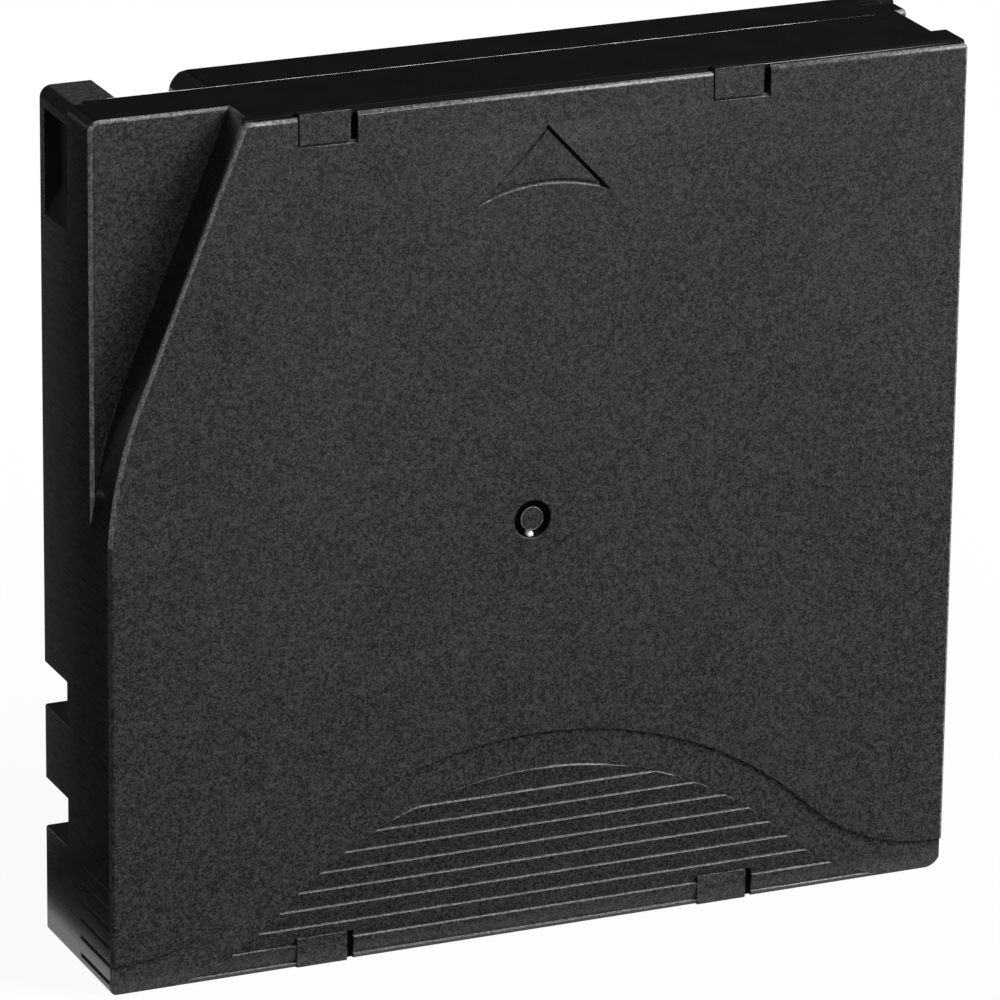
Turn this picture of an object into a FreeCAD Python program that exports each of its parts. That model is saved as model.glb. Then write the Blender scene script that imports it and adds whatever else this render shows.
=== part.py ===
import FreeCAD, Part
import math
import os

from FreeCAD import Vector

# Half-inch single-reel data tape cartridge, standing on its rear edge.
# X runs across the cartridge, Y from the cover (-Y) to the base (+Y) and Z from the rear edge (Z = 0)
# to the insertion end.  The reel turns about an axis along Y.

# ---------------------------------------------------------------- case shells
case_width = 105.4
case_thickness = 21.5
case_length = 102.0
plate_thickness = 2.0            # cover plate and base plate
wall_thickness = 2.0             # side, rear and end walls
cover_depth = 12.55              # cover face to the parting line on the sides
tongue_depth = 1.1               # how far the cover's end wall reaches past that line
end_post_radius = 1.4            # outline corners: insertion end, post side
end_door_radius = 0.6            # insertion end, door side
rear_post_radius = 0.7
rear_door_radius = 2.2
tongue_inset = 2.0               # post side to the start of that tongue
cover_edge_radius = 0.55
rim_set_back = 0.45              # insertion end to the cover's face edge between the pads
rim_depth = 1.2                  # depth of that step
base_edge = 0.3                  # bevel round the base face
running_gap = 0.3                # between pieces that move past each other
slide_fit = 0.1                  # between a slider and its guide
mesh_backlash = 0.2              # axial gap left in the locked brake teeth
past = 1.0                       # how far a cutting shape reaches past what it cuts

# ---------------------------------------------------------------- reel
reel_x = -1.2                    # axis from the middle of the width
reel_set_back = 0.1              # axis behind the middle of the length
reel_room = 0.6                  # reel flange to the nearest wall
tape_width = 12.65
tape_side_gap = 0.225            # tape edge to flange
flange_thickness = 1.1
hub_radius = 22.0
hub_wall = 2.4
hub_floor_thickness = 1.6
hub_floor_step = 0.75            # hub underside above the flange underside
weld_rib = 1.2                   # width of the rib that the upper flange is welded to
pack_margin = 1.3                # flange edge past a full tape pack
reel_opening_radius = 18.0
opening_rim_width = 1.4
opening_rim_height = 0.5
opening_rim_step = 0.4            # rim set back from the opening's wall
collar_gap = 0.8                 # drive ring collar to the case opening
collar_wall = 0.8
collar_drop = 0.65               # collar past the flange underside

# ---------------------------------------------------------------- drive ring, brake and release pad
tooth_count = 60
drive_tooth_height = 1.3
tooth_sink = 0.1                 # teeth and segments sunk into what carries them
drive_tooth_length = 3.2
drive_root_share = 0.40          # half width of a tooth at its root, in tooth pitches
drive_tip_share = 0.10
brake_inner_radius = 9.7
brake_tooth_length = 2.5
brake_tooth_height = 1.1
brake_root_share = 0.345
brake_tip_share = 0.10
lock_segment_half_angle = 18.0   # each of the three toothed segments in the hub
brake_disc_thickness = 1.4
brake_rim = 0.6                  # disc past its teeth
brake_sleeve_radius = 4.5
brake_sleeve_height = 5.8
brake_nose_radius = 2.6
brake_nose_tip = 1.8
release_travel = 1.5
pad_thickness = 1.4
pad_corner_radius = 2.6
pad_boss_radius = 3.0
pad_boss_height = 0.8
pad_touch_gap = 0.05             # pad boss to brake nose
leg_half_angle = 7.0
leg_slot_clearance = 0.35
brake_teeth_level = 3.4          # pad seat to the tooth tips of the locking segments
cross_thickness = 1.3
cross_reach = 3.3
cross_end_gap = 0.8              # cross guide to the brake disc when released
spring_seat_height = 1.0
spring_seat_wall = 0.8

coil_steps = 10                  # flats in each turn of a spring
brake_coil_radius = 5.3
brake_wire_radius = 0.35
brake_coil_turns = 4.5

clutch_inner_radius = 4.6
clutch_thickness = 1.0
clutch_edge_gap = 0.8            # clutch plate to the drive teeth

# ---------------------------------------------------------------- cover face
guide_wall = 1.8
guide_side_gap = 1.5             # reel flange to the guide wall
rib_arc_end = 56.6               # degrees that the ribs round the reel reach from each wall
guide_depth = 5.6
guide_edge = 0.4                 # bevel round the guide floor
guide_corner_radius = 0.6        # cover outline where the guide wall meets the insertion end
guide_top_inset = 16.5           # side to where the guide wall meets the insertion end
guide_run_out = 5.0              # cutting shapes past the outline
grip_depth = 0.3
grip_crown_z = 24.6
grip_crown_radius = 50.0
grip_skirt_radius = 24.0
grip_skirt_z = 3.6
rib_inset = 4.4                  # grip outline to the ends of the ribs
rib_pitch = 2.13
rib_first_z = 0.6
rib_sink = 0.15                  # foot of each rib below the grip surface
side_groove_count = 6
side_groove_first_z = 1.6
side_groove_pitch = 2.2
side_groove_depth = 0.5
side_groove_margin = 0.7         # cover face to the groove ends
side_groove_start = 2.5          # parting line to the groove ends
side_groove_share = 0.42         # ramp of a groove, in pitches
arrow_inset = 4.3                # insertion end to the arrow's tip
arrow_length = 8.6
arrow_half_width = 8.05
arrow_bow = 1.6
engraving_width = 0.5
engraving_depth = 0.3
gate_radius = 2.25
gate_depth = 0.9
gate_boss_radius = 1.42
gate_boss_drop = 0.25
pad_offset_x = 25.3              # spacer pads each side of the reel axis
spacer_width = 6.2
spacer_length = 3.7
spacer_foot_length = 3.55
spacer_groove = 0.85
spacer_groove_depth = 0.8
spacer_seam = 0.3
spacer_side_seam = 0.15
side_relief = 0.3                # door side set back beside the grip's foot
door_relief = 0.15               # door side set back beside the door
door_relief_length = 8.0
side_band = 4.0                  # full width past that, at the insertion end

# ---------------------------------------------------------------- base shell
post_width = 6.2
gap_width = 9.3
gap_lead_radius = 2.5            # rounding of the end wall where the gap starts
gap_length = 6.0
gap_wall = 1.5
side_notches = ((13.1, 19.1), (28.1, 33.35))
notch_reach = 7.5                # base face to the notch end
notch_depth = 3.2
pocket_inset = 2.3               # insertion end to the pocket
pocket_length = 12.3
pocket_ramp = 3.8
pocket_depth = 1.5
pocket_margin = 1.75
locating_inset = 7.5             # left side to the locating hole
locating_set_back = 21.5         # insertion end to the locating holes
locating_radius = 1.75
locating_depth = 4.0
locating_slot = 1.5
locating_wall = 1.15
label_depth = 0.3
label_margin = 2.15
label_left_inset = 21.7
label_right_inset = 3.2

# ---------------------------------------------------------------- screws
screw_insets_end = ((-1, 9.7, 15.0), (1, 23.2, 4.6))    # side, inset from it, inset from the end
screw_insets_rear = ((-1, 7.2, 11.5), (1, 6.4, 9.0))
screw_radius = 1.0
screw_head_radius = 1.9
screw_head_height = 1.2
screw_head_gap = 0.15
screw_recess = 0.3               # head below the base face
screw_bite = 5.0                 # screw length inside the cover's boss
boss_wall = 1.5
drive_recess = 0.5
drive_recess_share = 0.6         # reach of the cross in the head

# ---------------------------------------------------------------- door
door_opening_length = 21.5
door_cover_strip = 5.05          # cover face to the opening
door_thickness = 1.2
door_wall = 1.0                  # side wall beside the door
door_tail = 10.5                 # door behind the opening when closed
door_front_gap = 0.3             # door lip below the insertion end
door_lip = 3.2
door_lip_thickness = 1.3
door_edge_radius = 0.4
door_nose_start = 0.2            # base face of the door to its nose
door_nose_width = 4.0
door_nose_reach = 1.4            # past the door's outer face
door_nose_thickness = 1.1
door_nose_radius = 1.1
door_nose_rim = 0.6              # rounding round the nose's top
door_travel = 20.0
rail_thickness = 1.0
rail_overlap = 0.9
spring_post_radius = 0.65
spring_post_length = 4.0
spring_boss_length = 3.0
door_coil_radius = 1.05
door_wire_radius = 0.22
door_coil_turns = 13
door_spring_length = 34.0
door_spring_y = 1.5
stand_thickness = 2.0

# ---------------------------------------------------------------- leader pin
pin_side_inset = 8.2
pin_end_inset = 11.5
pin_core_radius = 1.2
pin_collar_radius = 2.1
pin_collar_length = 0.5
pin_neck_length = 0.7
pin_knob_radius = 1.9
pin_knob_length = 0.5
pin_core_spare = 0.1             # pin core past the tape edge
pin_seat_gap = 0.15
cradle_wall = 1.2
cradle_lip = 0.7                 # cradle past the pin's middle, toward the end
cradle_foot = 1.0                # and toward the door
clamp_radius = 1.9
clamp_slit = 60.0                # degrees
clamp_end_gap = 0.15
tape_film = 0.1                  # drawn thickness of the single tape layer
tape_run_gap = 0.3
plate_spring_thickness = 0.3
plate_spring_arm = 1.0
plate_spring_base = 5.0
plate_spring_lead = 7.0          # pin to the start of the arms
plate_spring_lap = 1.0           # arms welded on the base by this much
plate_spring_flat = 0.8          # half length of the arm over the pin
plate_spring_tip = 1.2           # upturned end of the arm

# ---------------------------------------------------------------- write protect tab
tab_inset = 3.6                  # left side to the window
tab_knob_length = 6.2
tab_travel = 6.2
tab_width = 4.2
tab_centre_y = 5.5
tab_block_spare = 1.0            # inner block past the knob, each end
tab_block_width = 5.4
tab_block_depth = 4.0
tab_recess = 0.3
tab_rail = 1.0
tab_ridges = 3
tab_ridge_depth = 0.35
sense_hole_length = 4.4
sense_hole_width = 3.2

# ---------------------------------------------------------------- cartridge memory
board_inset = 22.9               # door side to the board's far edge
board_width = 11.0
board_length = 9.6
board_thickness = 0.6
board_leg = 7.5                  # legs of the 45 degree gussets
gusset_inset = 1.1               # board edge to the gussets
gusset_thickness = 1.0
chip_radius = 1.9
chip_height = 0.7
coil_margin = 0.6
coil_trace = 0.25
coil_space = 0.3
coil_loops = 3
coil_height = 0.1

# ---------------------------------------------------------------- places worked out from the sizes
half_width = case_width / 2
cover_y = -case_thickness / 2
base_y = case_thickness / 2
ceiling_y = cover_y + plate_thickness
floor_y = base_y - plate_thickness
parting_y = cover_y + cover_depth
tongue_y = parting_y + tongue_depth
inner_x = half_width - wall_thickness
inner_top_z = case_length - wall_thickness

reel_z = case_length / 2 - reel_set_back
flange_radius = min(reel_z, half_width + reel_x) - wall_thickness - reel_room
pack_radius = flange_radius - pack_margin

rim_y = floor_y - opening_rim_height
flange_under_y = rim_y - running_gap
lower_flange_y = flange_under_y - flange_thickness
upper_flange_y = lower_flange_y - tape_width - 2 * tape_side_gap
tape_centre_y = (lower_flange_y + upper_flange_y) / 2
hub_under_y = flange_under_y - hub_floor_step
hub_inside_y = hub_under_y - hub_floor_thickness
collar_radius = reel_opening_radius - collar_gap
drive_outer_radius = collar_radius - collar_wall
drive_inner_radius = drive_outer_radius - drive_tooth_length
clutch_radius = drive_inner_radius - clutch_edge_gap

tooth_pitch = 360.0 / tooth_count
lock_tip_y = hub_inside_y - brake_teeth_level
brake_disc_y = lock_tip_y - mesh_backlash
brake_top_y = brake_disc_y - brake_disc_thickness
brake_radius = brake_inner_radius + brake_tooth_length + brake_rim
pad_boss_y = hub_inside_y - pad_thickness - pad_boss_height

guide_floor_y = cover_y + guide_depth
guide_radius = flange_radius + guide_side_gap + guide_wall
guide_top_x = -half_width + guide_top_inset
arrow_apex_z = case_length - arrow_inset
arrow_base_z = arrow_apex_z - arrow_length

screw_places = [(side * (half_width - inset), case_length - end) for side, inset, end in screw_insets_end]
screw_places += [(side * (half_width - inset), rear) for side, inset, rear in screw_insets_rear]
outline_corners = [(-half_width, case_length, end_post_radius), (half_width, case_length, end_door_radius),
                   (-half_width, 0.0, rear_post_radius), (half_width, 0.0, rear_door_radius)]
locating_offset_x = reel_x + half_width - locating_inset
locating_z = case_length - locating_set_back
pocket_z1 = case_length - pocket_inset
pocket_z0 = pocket_z1 - pocket_length

door_opening_z = case_length - door_opening_length
door_x1 = half_width - side_relief - door_wall - running_gap
door_x0 = door_x1 - door_thickness
door_y0 = cover_y + door_cover_strip + running_gap
door_y1 = floor_y - running_gap
door_z1 = case_length - door_front_gap
door_z0 = door_opening_z - door_tail
door_spring_x = door_x1 - door_coil_radius - door_wire_radius
stand_z1 = door_z0 - door_spring_length

pin_x = half_width - pin_side_inset
pin_z = case_length - pin_end_inset
pin_half_core = tape_width / 2 + pin_core_spare
pin_half_length = pin_half_core + pin_collar_length + pin_neck_length + pin_knob_length

tab_window_x0 = -half_width + tab_inset
tab_window_x1 = tab_window_x0 + tab_knob_length + tab_travel + 2 * slide_fit
board_x0 = half_width - board_inset


# ---------------------------------------------------------------- small tools
def box(x0, x1, y0, y1, z0, z1):
    """Box between two opposite corners."""
    return Part.makeBox(x1 - x0, y1 - y0, z1 - z0, Vector(x0, y0, z0))


def disc(radius, y0, y1, x=reel_x, z=reel_z):
    """Round disc or pin along Y, on the reel axis unless told otherwise."""
    return Part.makeCylinder(radius, y1 - y0, Vector(x, y0, z), Vector(0, 1, 0))


def ring(outer, inner, y0, y1, x=reel_x, z=reel_z):
    """Flat ring along Y."""
    return disc(outer, y0, y1, x, z).cut(disc(inner, y0, y1, x, z))


def prism(outline, y0, y1):
    """Solid along Y from an outline in X and Z.

    The outline is a list of (x, z) corners; an item (xm, zm, x, z) is an arc through (xm, zm)
    to (x, z).
    """
    start = Vector(outline[0][0], y0, outline[0][1])
    here = start
    edges = []
    for item in outline[1:] + [outline[0]]:
        there = Vector(item[-2], y0, item[-1])
        if len(item) == 4:
            middle = Vector(item[0], y0, item[1])
            edges.append(Part.Arc(here, middle, there).toShape())
        elif here.distanceToPoint(there) > 1e-6:
            edges.append(Part.LineSegment(here, there).toShape())
        here = there
    return Part.Face(Part.Wire(edges)).extrude(Vector(0, y1 - y0, 0))


def across(outline, x0, x1):
    """Solid along X from corners in Y and Z."""
    points = [Vector(x0, y, z) for y, z in outline]
    return Part.Face(Part.makePolygon(points + points[:1])).extrude(Vector(x1 - x0, 0, 0))


def join(first, others):
    """One shape of the first and all the others, with merged faces."""
    return first.fuse(others).removeSplitter()


def edges_where(shape, test):
    """Edges whose every vertex passes the test."""
    return [edge for edge in shape.Edges if all(test(v.Point) for v in edge.Vertexes)]


def turned(shape, angle):
    """The shape turned about the reel axis."""
    copy = shape.copy()
    copy.rotate(Vector(reel_x, 0, reel_z), Vector(0, 1, 0), angle)
    return copy


def tooth(inner, outer, root_y, tip_y, root_share, tip_share):
    """One radial tooth at angle 0 that widens outward, sunk a little into its root."""
    sunk_y = root_y - math.copysign(tooth_sink, tip_y - root_y)
    wires = []
    for radius in (inner, outer):
        root = radius * math.tan(math.radians(root_share * tooth_pitch))
        tip = radius * math.tan(math.radians(tip_share * tooth_pitch))
        section = [(sunk_y, -root), (root_y, -root), (tip_y, -tip), (tip_y, tip), (root_y, root),
                   (sunk_y, root)]
        corners = [Vector(reel_x + radius, y, reel_z + z) for y, z in section]
        wires.append(Part.makePolygon(corners + corners[:1]))
    return Part.makeLoft(wires, True, True)


def teeth(inner, outer, root_y, tip_y, root_share, tip_share, wanted):
    """The teeth of a ring whose angle passes the test."""
    one = tooth(inner, outer, root_y, tip_y, root_share, tip_share)
    angles = [(i + 0.5) * tooth_pitch for i in range(tooth_count)]
    return [turned(one, angle) for angle in angles if wanted(angle)]


def coil(radius, wire_radius, turns, length):
    """Compression spring along Z from the origin: square-sectioned rings of wire joined as a helix."""
    rise = length - 2 * wire_radius
    steps = int(round(turns * coil_steps))
    path = []
    for i in range(steps + 1):
        angle = 2 * math.pi * i / coil_steps
        z = wire_radius + rise * i / steps
        path.append(Vector(radius * math.cos(angle), radius * math.sin(angle), z))
    rings = []
    for i, point in enumerate(path):
        angle = 2 * math.pi * i / coil_steps
        out = Vector(math.cos(angle), math.sin(angle), 0) * wire_radius
        up = Vector(0, 0, wire_radius)
        corners = [point + out, point + up, point - out, point - up]
        rings.append(Part.makePolygon(corners + corners[:1]))
    return Part.makeLoft(rings, True, True)


def ribbon(points, thickness, y0, y1):
    """Bent sheet of even thickness along Y that follows (x, z) points."""
    sides = [[], []]
    for i, (x, z) in enumerate(points):
        before = points[max(i - 1, 0)]
        after = points[min(i + 1, len(points) - 1)]
        along = Vector(after[0] - before[0], 0, after[1] - before[1]).normalize()
        for side, reach in zip(sides, (thickness / 2, -thickness / 2)):
            side.append((x - along.z * reach, z + along.x * reach))
    return prism(sides[0] + sides[1][::-1], y0, y1)


# ---------------------------------------------------------------- outlines on the cover
def guide_normal():
    """Angle from the reel axis to the straight stretch of the insertion guide."""
    dx = guide_top_x - reel_x
    dz = case_length - reel_z
    return math.atan2(dz, dx) + math.acos(guide_radius / math.hypot(dx, dz))


def guide_region(radius, y0, y1):
    """All that lies outside the insertion guide: a straight stretch, then an arc round the reel."""
    angle = guide_normal()
    touch = (reel_x + radius * math.cos(angle), reel_z + radius * math.sin(angle))
    middle = (angle + math.pi) / 2
    bend = (reel_x + radius * math.cos(middle), reel_z + radius * math.sin(middle))
    end_z = case_length + guide_run_out
    top_x = touch[0] + (end_z - touch[1]) * math.sin(angle) / -math.cos(angle)
    far_x = -half_width - guide_run_out
    outline = [touch, (top_x, end_z), (far_x, end_z), (far_x, reel_z), (reel_x - radius, reel_z)]
    return prism(outline + [bend + touch], y0, y1)


def grip_outline(inset):
    """Bell-shaped outline: a crown arc that runs into a skirt arc on each side."""
    crown = grip_crown_radius - inset
    skirt = grip_skirt_radius + inset
    crown_z = grip_crown_z - grip_crown_radius
    skirt_z = grip_skirt_z + grip_skirt_radius
    skirt_x = math.sqrt((crown + skirt) ** 2 - (skirt_z - crown_z) ** 2)
    slope = math.atan2(skirt_z - crown_z, skirt_x)
    join_x = crown * math.cos(slope)
    join_z = crown_z + crown * math.sin(slope)
    end_z = max(skirt_z - skirt, 0.0)
    end_x = skirt_x - math.sqrt(max(skirt ** 2 - (skirt_z - end_z) ** 2, 0.0))
    end_angle = math.atan2(end_z - skirt_z, end_x - skirt_x)
    join_angle = math.atan2(join_z - skirt_z, join_x - skirt_x)
    half = (end_angle + join_angle) / 2
    mid_x = skirt_x + skirt * math.cos(half)
    mid_z = skirt_z + skirt * math.sin(half)
    far_x = half_width + guide_run_out
    return [(-far_x, -guide_run_out), (-far_x, end_z), (-end_x, end_z), (-mid_x, mid_z, -join_x, join_z),
            (0.0, crown_z + crown, join_x, join_z), (mid_x, mid_z, end_x, end_z), (far_x, end_z),
            (far_x, -guide_run_out)]


def grip_ribs():
    """Shingle ribs: each is flush with the cover just below its line and sinks toward the next."""
    foot = cover_y + grip_depth + rib_sink
    root = foot + rib_sink
    room = prism(grip_outline(rib_inset), cover_y, root).common(shell(cover_y, root))
    crown_z = grip_crown_z - rib_inset
    tops = [rib_first_z + i * rib_pitch for i in range(int((crown_z - rib_first_z) / rib_pitch))]
    ribs = []
    for low, top in zip([0.0] + tops, tops + [crown_z]):
        section = [(root, top), (cover_y, top), (foot, low), (root, low)]
        ribs.append(across(section, -half_width, half_width).common(room))
    return ribs


def arrow_groove():
    """Engraved outline of the insertion arrow, its base bowed toward the tip."""
    outline = prism([(0.0, arrow_apex_z), (arrow_half_width, arrow_base_z),
                     (0.0, arrow_base_z + arrow_bow, -arrow_half_width, arrow_base_z)],
                    cover_y, cover_y + engraving_depth)
    wire = [f for f in outline.Faces if abs(f.CenterOfMass.y - cover_y) < 1e-6][0].OuterWire
    inside = Part.Face(wire.makeOffset2D(-engraving_width)).extrude(Vector(0, engraving_depth, 0))
    return outline.cut(inside)


def spacer_places():
    """Left edges of the spacer pads."""
    return [reel_x + side * pad_offset_x - (spacer_width + spacer_groove) / 2 for side in (-1, 1)]


# ---------------------------------------------------------------- screws
def screw_boss(x, z, y0, y1):
    return disc(screw_radius + boss_wall, y0, y1, x, z)


def make_case_screws():
    """Four pan-head screws with cross recesses."""
    head_y = base_y - screw_recess
    screws = []
    for x, z in screw_places:
        head = disc(screw_head_radius, head_y - screw_head_height, head_y, x, z)
        shank = disc(screw_radius, parting_y - screw_bite, head_y, x, z)
        arm = drive_recess_share * screw_head_radius
        slot = drive_recess / 2
        recess = box(x - arm, x + arm, head_y - drive_recess, head_y, z - slot, z + slot)
        recess = recess.fuse(box(x - slot, x + slot, head_y - drive_recess, head_y, z - arm, z + arm))
        screws.append(head.fuse(shank).cut(recess))
    return Part.makeCompound(screws)


# ---------------------------------------------------------------- what both shells share
def shell(y0, y1):
    """Full outline of the case, each corner with its own rounding."""
    block = box(-half_width, half_width, y0, y1, 0.0, case_length)
    for x, z, radius in outline_corners:
        block = block.makeFillet(radius, edges_where(block, lambda p: abs(p.x - x) + abs(p.z - z) < 1e-6))
    return block


def cavity(y0, y1):
    return box(-inner_x, inner_x, y0, y1, wall_thickness, inner_top_z)


def reel_ribs(y0, y1, corners):
    """Curved ribs round the reel in the given corners, each (x side, z side)."""
    inner = flange_radius + guide_side_gap
    wall = ring(inner + guide_wall, inner, y0, y1)
    pieces = []
    near = inner * math.cos(math.radians(rib_arc_end))
    for side_x, side_z in corners:
        xs = sorted((reel_x + side_x * near, side_x * inner_x))
        zs = sorted((reel_z + side_z * near, wall_thickness if side_z < 0 else inner_top_z))
        pieces.append(wall.common(box(xs[0], xs[1], y0, y1, zs[0], zs[1])))
    return pieces


def door_cut():
    """Tape opening in the door side, open at the end corner for the door's lip."""
    y0 = cover_y + door_cover_strip
    lip_x = door_x1 - door_lip - running_gap
    side = box(inner_x - past, half_width + past, y0, floor_y, door_opening_z, case_length + past)
    corner = box(lip_x, half_width + past, y0, floor_y, inner_top_z - past, case_length + past)
    return side.fuse(corner)


def door_channel(y0, y1):
    """Room for the door inside the side wall."""
    x1 = door_x1 + running_gap
    z0 = min(door_z0 - door_travel, stand_z1 - stand_thickness) - running_gap
    return box(door_x0 - running_gap, x1, y0, y1, z0, inner_top_z)


def door_rail(y0, y1):
    """Inner rail that keeps one long edge of the door against the side wall."""
    x1 = door_x0 - running_gap
    z0 = door_z0 - door_travel
    z1 = min(door_opening_z, door_z1 - door_lip_thickness - door_travel - running_gap)
    return box(x1 - rail_thickness, x1, y0, y1, z0, z1)


def pin_cradle(y0, y1, seat_y0, seat_y1):
    """Corner that one end of the leader pin lies in, open toward the door and the end."""
    reach = pin_knob_radius + pin_seat_gap
    left = pin_x - reach - cradle_wall
    low = pin_z - reach - cradle_wall
    block = box(left, pin_x + cradle_foot, y0, y1, low, pin_z + cradle_lip)
    room = disc(reach, seat_y0, seat_y1, pin_x, pin_z)
    room = room.fuse(box(pin_x, pin_x + 2 * reach, seat_y0, seat_y1, pin_z - reach, pin_z + reach))
    room = room.fuse(box(pin_x - reach, pin_x + 2 * reach, seat_y0, seat_y1, pin_z, pin_z + reach))
    return block.cut(room)


def label_recess():
    x0 = -half_width + label_left_inset
    x1 = half_width - label_right_inset
    return box(x0, x1, cover_y + label_margin, base_y - label_margin, -past, label_depth)


def side_relief_cuts():
    """Steps of the door side: beside the grip's foot, and beside the door below the end band."""
    end_z = case_length - side_band
    steps = ((side_relief, -past, grip_skirt_z), (door_relief, end_z - door_relief_length, end_z))
    return [box(half_width - depth, half_width + past, cover_y - past, base_y + past, z0, z1)
            for depth, z0, z1 in steps]


# ---------------------------------------------------------------- cover shell
def raised_cover():
    """Cover between the guide wall and the other sides: its end steps back at the face, its face edge is rounded."""
    front = shell(cover_y, cover_y + rim_depth)
    lowered = front.copy()
    lowered.translate(Vector(0, 0, -rim_set_back))
    front = guide_side(front.common(lowered), case_length - rim_set_back)
    front = front.makeFillet(cover_edge_radius, edges_where(front, lambda p: abs(p.y - cover_y) < 1e-6))
    rear = guide_side(shell(cover_y + rim_depth, guide_floor_y + guide_edge), case_length)
    return front.fuse(rear)


def guide_side(block, end_z):
    """Block cut back to the guide wall, its corner at the given end rounded."""
    block = block.cut(guide_region(guide_radius, cover_y - past, guide_floor_y + guide_edge + past))
    corner = edges_where(block, lambda p: abs(p.z - end_z) < 1e-3 and p.x < guide_top_x + 1e-3)
    return block.makeFillet(guide_corner_radius, corner)


def cover_blank():
    """Hollow cover with its guide floor and raised face, its end wall reaching past the parting line."""
    body = shell(guide_floor_y, parting_y)
    body = body.makeChamfer(guide_edge, edges_where(body, lambda p: abs(p.y - guide_floor_y) < 1e-6))
    tongue_x0 = -half_width + tongue_inset
    tongue_x1 = door_x1 - door_lip - running_gap
    tongue = box(tongue_x0, tongue_x1, parting_y - past, tongue_y, inner_top_z, case_length)
    body = body.fuse([raised_cover(), tongue])
    hollow = cavity(ceiling_y, parting_y + past)
    hollow = hollow.cut(guide_region(guide_radius - guide_wall, ceiling_y, guide_floor_y + plate_thickness))
    return body.cut([hollow, door_channel(door_y0 - running_gap, parting_y + past)])


def spacer_pads(z0, z1):
    """Square-edged pads that interrupt the rounded edge, flush with the cover."""
    return [box(x, x + spacer_width, cover_y, cover_y + rim_depth, z0, z1) for x in spacer_places()]


def spacer_grooves():
    """Groove beside each pad, and the fine seams round the pads at the insertion end."""
    cuts = []
    for x in spacer_places():
        edge = x + spacer_width
        low = case_length - spacer_length
        for z0, z1 in ((low, case_length + past), (-past, spacer_foot_length)):
            cuts.append(box(edge, edge + spacer_groove, cover_y - past, cover_y + spacer_groove_depth,
                            z0, z1))
        cuts.append(box(x, edge + spacer_groove, cover_y - past, cover_y + spacer_seam,
                        low - spacer_seam, low))
        cuts.append(box(x - spacer_side_seam, x, cover_y - past, cover_y + spacer_seam,
                        low - spacer_seam, case_length + past))
    return cuts


def side_grooves():
    """Saw-tooth finger grooves on both sides of the cover."""
    y0 = cover_y + side_groove_margin
    y1 = parting_y - side_groove_start
    cuts = []
    for side in (-1, 1):
        edge = side * half_width
        for i in range(side_groove_count):
            z = side_groove_first_z + i * side_groove_pitch
            low = z - side_groove_share * side_groove_pitch
            outline = [(edge + side, z), (edge - side * side_groove_depth, z),
                       (edge + side * side_groove_depth, low)]
            cuts.append(prism(outline, y0, y1))
    return cuts


def gate_mark():
    """Round gate dimple over the reel axis, with a low boss in it."""
    return ring(gate_radius, gate_boss_radius, cover_y, cover_y + gate_depth).fuse(
        disc(gate_boss_radius, cover_y, cover_y + gate_boss_drop))


def brake_guide():
    """Cross that the brake slides on, and the seat of its spring."""
    end_y = brake_top_y - release_travel - cross_end_gap
    half = cross_thickness / 2
    bars = [box(reel_x - cross_reach, reel_x + cross_reach, ceiling_y, end_y, reel_z - half, reel_z + half),
            box(reel_x - half, reel_x + half, ceiling_y, end_y, reel_z - cross_reach, reel_z + cross_reach)]
    inner = brake_coil_radius + brake_wire_radius + slide_fit
    seat = ring(inner + spring_seat_wall, inner, ceiling_y, ceiling_y + spring_seat_height)
    return bars + [seat]


def make_upper_case():
    bosses = [screw_boss(x, z, ceiling_y, parting_y) for x, z in screw_places]
    pin_end_y = tape_centre_y - pin_half_length
    cradle_end = pin_end_y + pin_knob_length + pin_neck_length / 2
    features = bosses + brake_guide() + reel_ribs(ceiling_y, parting_y, ((-1, -1), (1, -1)))
    features.append(pin_cradle(ceiling_y, cradle_end, pin_end_y - pin_seat_gap, cradle_end))
    features.append(door_rail(ceiling_y, door_y0 + rail_overlap))
    body = join(cover_blank(), features)
    cuts = [guide_region(guide_radius, cover_y - past, guide_floor_y)]
    cuts += [disc(screw_radius, parting_y - screw_bite - screw_radius, parting_y + past, x, z)
             for x, z in screw_places]
    cuts += [door_cut(), label_recess()] + side_relief_cuts()
    cuts.append(prism(grip_outline(0.0), cover_y - past, cover_y + grip_depth))
    cuts.append(prism(grip_outline(rib_inset), cover_y - past, cover_y + grip_depth + rib_sink))
    body = body.cut(cuts)
    pads = spacer_pads(case_length - spacer_length, case_length) + spacer_pads(0.0, spacer_foot_length)
    body = join(body, grip_ribs() + pads)
    return body.cut(spacer_grooves() + side_grooves() + [arrow_groove(), gate_mark()])


# ---------------------------------------------------------------- base shell
def base_blank():
    body = shell(parting_y, base_y)
    body = body.makeChamfer(base_edge, edges_where(body, lambda p: abs(p.y - base_y) < 1e-6))
    tongue_x0 = -half_width + tongue_inset
    tongue_x1 = door_x1 - door_lip - running_gap
    tongue = box(tongue_x0, tongue_x1, parting_y - past, tongue_y, inner_top_z, case_length + past)
    return body.cut([cavity(parting_y - past, floor_y), door_channel(parting_y - past, floor_y), tongue])


def end_gap(spare, z0, z1):
    """Gap between the corner post and the end wall."""
    left = -half_width + post_width
    return box(left - spare, left + gap_width + spare, parting_y - past, base_y + past, z0, z1)


def gap_lead():
    """What rounds the end wall's corner beside the gap."""
    edge = -half_width + post_width + gap_width
    low = case_length - gap_lead_radius
    y0 = parting_y - past
    y1 = base_y + past
    corner = box(edge - past, edge + gap_lead_radius, y0, y1, low, case_length + past)
    return corner.cut(disc(gap_lead_radius, y0, y1, edge + gap_lead_radius, low))


def side_notch(z0, z1, spare):
    """Handling notch across the corner between the side and the base."""
    return box(-half_width - past, -half_width + notch_depth + spare, base_y - notch_reach - spare,
               base_y + past, z0 - spare, z1 + spare)


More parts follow.
